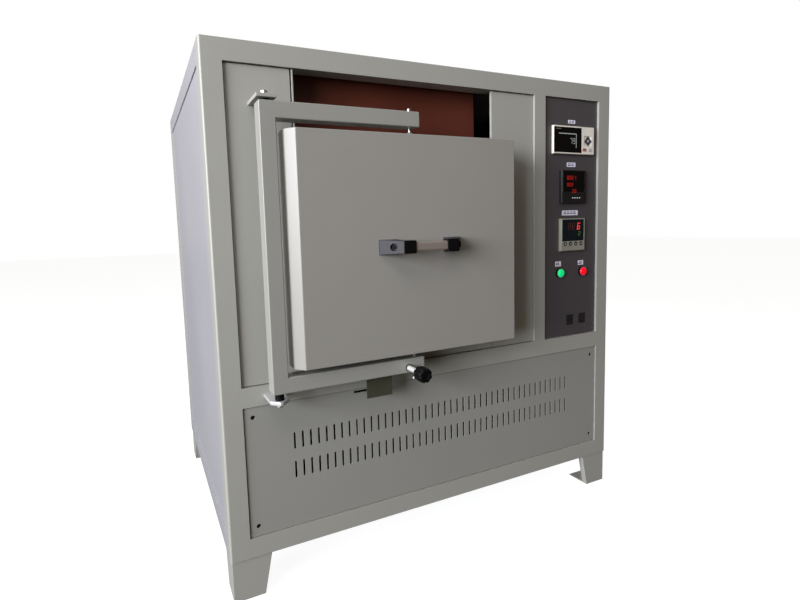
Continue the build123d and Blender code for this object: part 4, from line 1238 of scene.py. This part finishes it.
@dataclass
class Recorder(Assembly):
    """Wide recorder: screen, traces, pad and keys."""

    face: float = -3.0
    mark: float = 0.15
    dressed = (
        ("recorder_case", LIGHT_CASE, 1.2, 3), ("recorder_screen", GLASS, 0.3, 1),
        ("recorder_red_key", KEY_RED, 0.5), ("recorder_grey_key", KEY_GREY, 0.5),
    )

    def make(self) -> None:
        """Make the pad and what the screen shows."""
        self.pad()
        y = (self.face - self.mark, self.face)
        traces = Stock().block((976.0, 1045.0), y, (1096.8, 1099.6), 0.05, 1)
        traces.block((1042.6, 1045.0), y, (1058.5, 1099.6), 0.05, 1).piece("recorder_traces", GREY_MARK)
        Stock().block((966.0, 984.0), y, (1110.4, 1112.4), 0.05, 1).piece("recorder_strip", GREY_FAINT)
        Readout(self.face).bars("79", 1020.5, 1070.0, 16.0, 11.5).piece("recorder_digits", GREY_MARK)

    def pad(self) -> None:
        """Make the four-way pad: a diamond of petals round a centre key."""
        near, far = local_box("recorder_pad")
        x, z, reach = (near.x + far.x) / 2, (near.z + far.z) / 2, (far.x - near.x) / 2 - 0.1
        petals = Stock()
        for turn in range(4):
            petal = Stock().prism(
                [(0.0, 2.6), (reach * 0.46, reach * 0.5), (0.0, reach), (-reach * 0.46, reach * 0.5)],
                Axis.Y, (near.y, far.y), 0.5, 2,
            )
            petals.plus(petal.shifted((x, 0.0, z), Matrix.Rotation(turn * math.pi / 2, 3, "Y")))
        petals.instead("recorder_pad", "recorder_pad_petals", PAD_DARK)
        hub = Stock().turned(
            Axis.Y, (x, z),
            [(0, near.y + 0.2), (3.6, near.y + 0.2), (4.4, near.y + 0.8), (4.4, far.y), (0, far.y)], 40,
        )
        hub.beside("recorder_pad", "recorder_pad_centre", KEY_GREY)


@dataclass
class Meter(Assembly):
    """Over-temperature meter with three rows of digits."""

    face: float = -6.0
    rows: tuple[tuple, ...] = (
        ("0021", 1006.0, 966.0, 11.0, 9.4), ("002", 1006.0, 947.0, 9.5, 8.8), ("20", 1027.0, 928.0, 10.0, 8.8),
    )
    marks: tuple[float, ...] = (1026.0, 1035.0, 1044.0, 1053.0)
    dressed = (("meter_case", BLACK, 1.2, 3), ("meter_window", GLASS, 0.3, 1), ("meter_keys", BLACK, 0.2, 1))

    def make(self) -> None:
        """Light the rows of digits and mark the keys."""
        rows, marks = Stock(), Stock()
        for row in self.rows:
            rows.plus(Readout(self.face).bars(*row))
        # The key marks glow: painted light on print.
        for left in self.marks:
            marks.block((left, left + 5.0), (self.face - 0.15, self.face), (911.8, 914.8), 0.1, 1)
        rows.piece("meter_digits", RED_DIGIT)
        marks.piece("meter_key_marks", PALE_MARK_PAINTED_GLOW)


@dataclass
class Controller(Assembly):
    """Programme controller with two lit digits and four ring keys."""

    face: float = -3.0
    dressed = (("controller_case", GREY_CASE, 1.2, 3), ("controller_window", GLASS_BLUE, 0.3, 1))

    def make(self) -> None:
        """Light the digits and make the keys."""
        for name, finish, slant, row in (
            ("controller_red_digit", RED_BRIGHT, 0.14, ("6", 1050.0, 819.5, 20.0, 15.5)),
            ("controller_green_digit", GREEN_DIGIT, 0.1, ("2", 1055.5, 801.5, 12.0, 11.0)),
            # The unlit digits carry a painted glow.
            ("controller_unlit_digits", RED_GHOST_PAINTED_GLOW, 0.14, ("88", 1013.0, 819.5, 20.0, 15.5)),
        ):
            Readout(self.face, slant).bars(*row).piece(name, finish)
        for number in range(1, 5):
            self.key(f"controller_key_{number}")

    def key(self, node: str) -> None:
        """Replace a key with a dished ring key."""
        near, far = local_box(node)
        at = ((near.x + far.x) / 2, (near.z + far.z) / 2)
        y = self.face
        rim = Stock().turned(
            Axis.Y, at,
            [(2.9, y - 0.2), (3.2, y - 0.9), (4.0, y - 1.2), (5.5, y - 1.0), (6.0, y - 0.3), (6.0, y + 1.2),
             (2.9, y + 1.2), (2.9, y - 0.2)],
        )
        rim.instead(node, f"{node}_rim", KEY_BLACK)
        dish = Stock().turned(
            Axis.Y, at, [(0, y - 0.3), (2.0, y - 0.4), (2.9, y - 0.8), (2.9, y + 1.2), (0, y + 1.2)], 40,
        )
        dish.beside(node, f"{node}_dish", GREY_CASE)


@dataclass
class PushButtons(Assembly):
    """Green and red push-buttons in black rings."""

    left: float = 990.0
    right: float = 1081.0
    z: float = 692.0
    sides: int = 64

    def make(self) -> None:
        """Turn the rings, their liners and the caps."""
        rings = self.pair([
            (12.3, 5.6), (12.3, 0.0), (12.8, -0.4), (13.6, -0.4), (14.4, 0.6), (14.7, 2.4), (14.7, 6.4),
            (10.8, 6.5), (10.8, 12.0), (0, 12.0), (0, 5.6), (12.3, 5.6),
        ])
        rings.instead("button_bodies", "button_rings", BLACK_SOFT)
        liners = self.pair([(12.25, 0.2), (12.9, -0.45), (13.5, -0.45), (12.3, 3.0), (12.25, 0.2)])
        liners.piece("button_liners", CHROME)
        for node, x, finish in (("green_button", self.left, GREEN_LAMP), ("red_button", self.right, RED_LAMP)):
            cap = Stock().turned(
                Axis.Y, (x, self.z),
                [(0, -6.5), (5.0, -6.2), (8.4, -5.3), (10.4, -3.8), (11.5, -1.8), (11.8, 0.0), (11.8, 1.0), (0, 1.0)],
                self.sides,
            )
            cap.instead(node, f"{node}_cap", finish)

    def pair(self, profile: Sequence[Span]) -> Stock:
        """Turn a profile about the axis of both buttons."""
        both = Stock()
        for x in (self.left, self.right):
            both.plus(Stock().turned(Axis.Y, (x, self.z), profile, self.sides))
        return both


# ---------------------------------------------------------------- room


@dataclass(frozen=True)
class Lamp:
    """Soft rectangular lamp, in metres and watts."""

    name: str
    place: Point
    target: Point
    size: Span
    power: float
    colour: Colour

    def hang(self) -> None:
        """Put the lamp in its place, pointed at its target."""
        data = bpy.data.lights.new(self.name, "AREA")
        data.shape, data.size, data.size_y = "RECTANGLE", self.size[0], self.size[1]
        data.energy, data.color = self.power, self.colour
        made = bpy.data.objects.new(self.name, data)
        aim = Vector(self.target) - Vector(self.place)
        made.matrix_world = Matrix.Translation(self.place) @ aim.to_track_quat("-Z", "Y").to_matrix().to_4x4()
        bpy.context.scene.collection.objects.link(made)


LAMPS = (
    Lamp("window", (-8.1, -3.8, 2.3), (0.0, -0.4, 0.75), (5.8, 3.6), 1270.0, (0.95, 0.968, 1.0)),
    Lamp("skylight", (-2.5, -0.3, 2.5), (-0.6, 0.0, 1.1), (1.6, 1.2), 42.0, (0.97, 0.97, 1.0)),
    Lamp("rear", (1.6, 3.4, 1.5), (0.0, 0.45, 0.6), (1.8, 1.4), 60.0, (1.0, 0.98, 0.96)),
    Lamp("ceiling", (-1.2, -1.9, 2.6), (0.0, -0.4, 1.1), (1.2, 0.9), 13.0, (1.0, 0.97, 0.95)),
)


@dataclass
class Room:
    """Floor, world, lamps and camera; the camera's axes are its right, up and back."""

    shade: Colour = (0.13, 0.105, 0.075)
    floor_matt: Colour = (0.07, 0.06, 0.045)
    floor_pale: Colour = (0.22, 0.23, 0.24)
    floor_glow: float = 0.94
    floor_reach: float = 20.0
    sensor: float = 36.0
    lens: float = 22.7253
    shift: Span = (0.024165, -0.027989)
    sight: float = 60.0
    eye: Point = (-0.7315, -1.50092, 0.84854)
    axes: tuple[Point, Point, Point] = (
        (0.900309, -0.434247, -0.029557), (0.071008, 0.079540, 0.994299), (-0.429421, -0.897275, 0.102446),
    )

    def build(self) -> None:
        """Set the stage."""
        self.camera()
        self.world()
        self.floor()
        for lamp in LAMPS:
            lamp.hang()

    def camera(self) -> None:
        """Put the camera at the chosen angle."""
        scene = bpy.context.scene
        data = bpy.data.cameras.new("camera")
        data.sensor_width, data.lens, data.clip_end = self.sensor, self.lens, self.sight
        data.shift_x, data.shift_y = self.shift
        made = bpy.data.objects.new("camera", data)
        made.matrix_world = Matrix.Translation(self.eye) @ Matrix(self.axes).transposed().to_4x4()
        scene.collection.objects.link(made)
        scene.camera = made
        scene.view_settings.view_transform = "Standard"

    def world(self) -> None:
        """Light softly from all round, with a white backdrop."""
        world = bpy.data.worlds.new("room")
        bpy.context.scene.world = world
        world.use_nodes = True
        graph = Graph(world.node_tree)
        seen = graph.light_path("Is Camera Ray").most(graph.light_path("Is Transmission Ray"))
        soft = graph.add("ShaderNodeBackground", {}, {"Color": rgba(self.shade), "Strength": 1.0})
        plain = graph.add("ShaderNodeBackground", {}, {"Color": WHITE, "Strength": 1.0})
        mixed = graph.add("ShaderNodeMixShader", {}, {0: seen, 1: soft, 2: plain})
        graph.add("ShaderNodeOutputWorld", {}, {"Surface": mixed})

    def floor(self) -> None:
        """Lay a pale floor."""
        mesh = bpy.data.meshes.new("floor")
        bm = bmesh.new()
        bmesh.ops.create_grid(bm, x_segments=1, y_segments=1, size=self.floor_reach)
        bm.to_mesh(mesh)
        bm.free()
        made = bpy.data.objects.new("floor", mesh)
        bpy.context.scene.collection.objects.link(made)
        material = bpy.data.materials.new("pale_floor")
        material.use_nodes = True
        graph = Graph(material.node_tree)
        seen = graph.light_path("Is Camera Ray")
        matt = graph.add("ShaderNodeBsdfDiffuse", {}, {"Color": rgba(self.floor_matt)})
        pale = graph.add("ShaderNodeBsdfDiffuse", {}, {"Color": rgba(self.floor_pale)})
        plain = graph.add("ShaderNodeEmission", {}, {"Color": WHITE, "Strength": self.floor_glow})
        bright = graph.add("ShaderNodeAddShader", {}, {0: pale, 1: plain})
        mixed = graph.add("ShaderNodeMixShader", {}, {0: seen, 1: matt, 2: bright})
        graph.add("ShaderNodeOutputMaterial", {}, {"Surface": mixed})
        mesh.materials.append(material)


def main() -> None:
    """Build the scene."""
    logging.basicConfig(level=logging.INFO, format="%(message)s")
    Room().build()
    for assembly in (
        Cabinet(), FurnaceBody(), PowerSection(), SwingArm(), HingeSet(), Door(), Handle(), Lock(),
        ControlPlate(), Recorder(), Meter(), Controller(), PushButtons(),
    ):
        assembly.build()


if __name__ == "__main__":
    main()
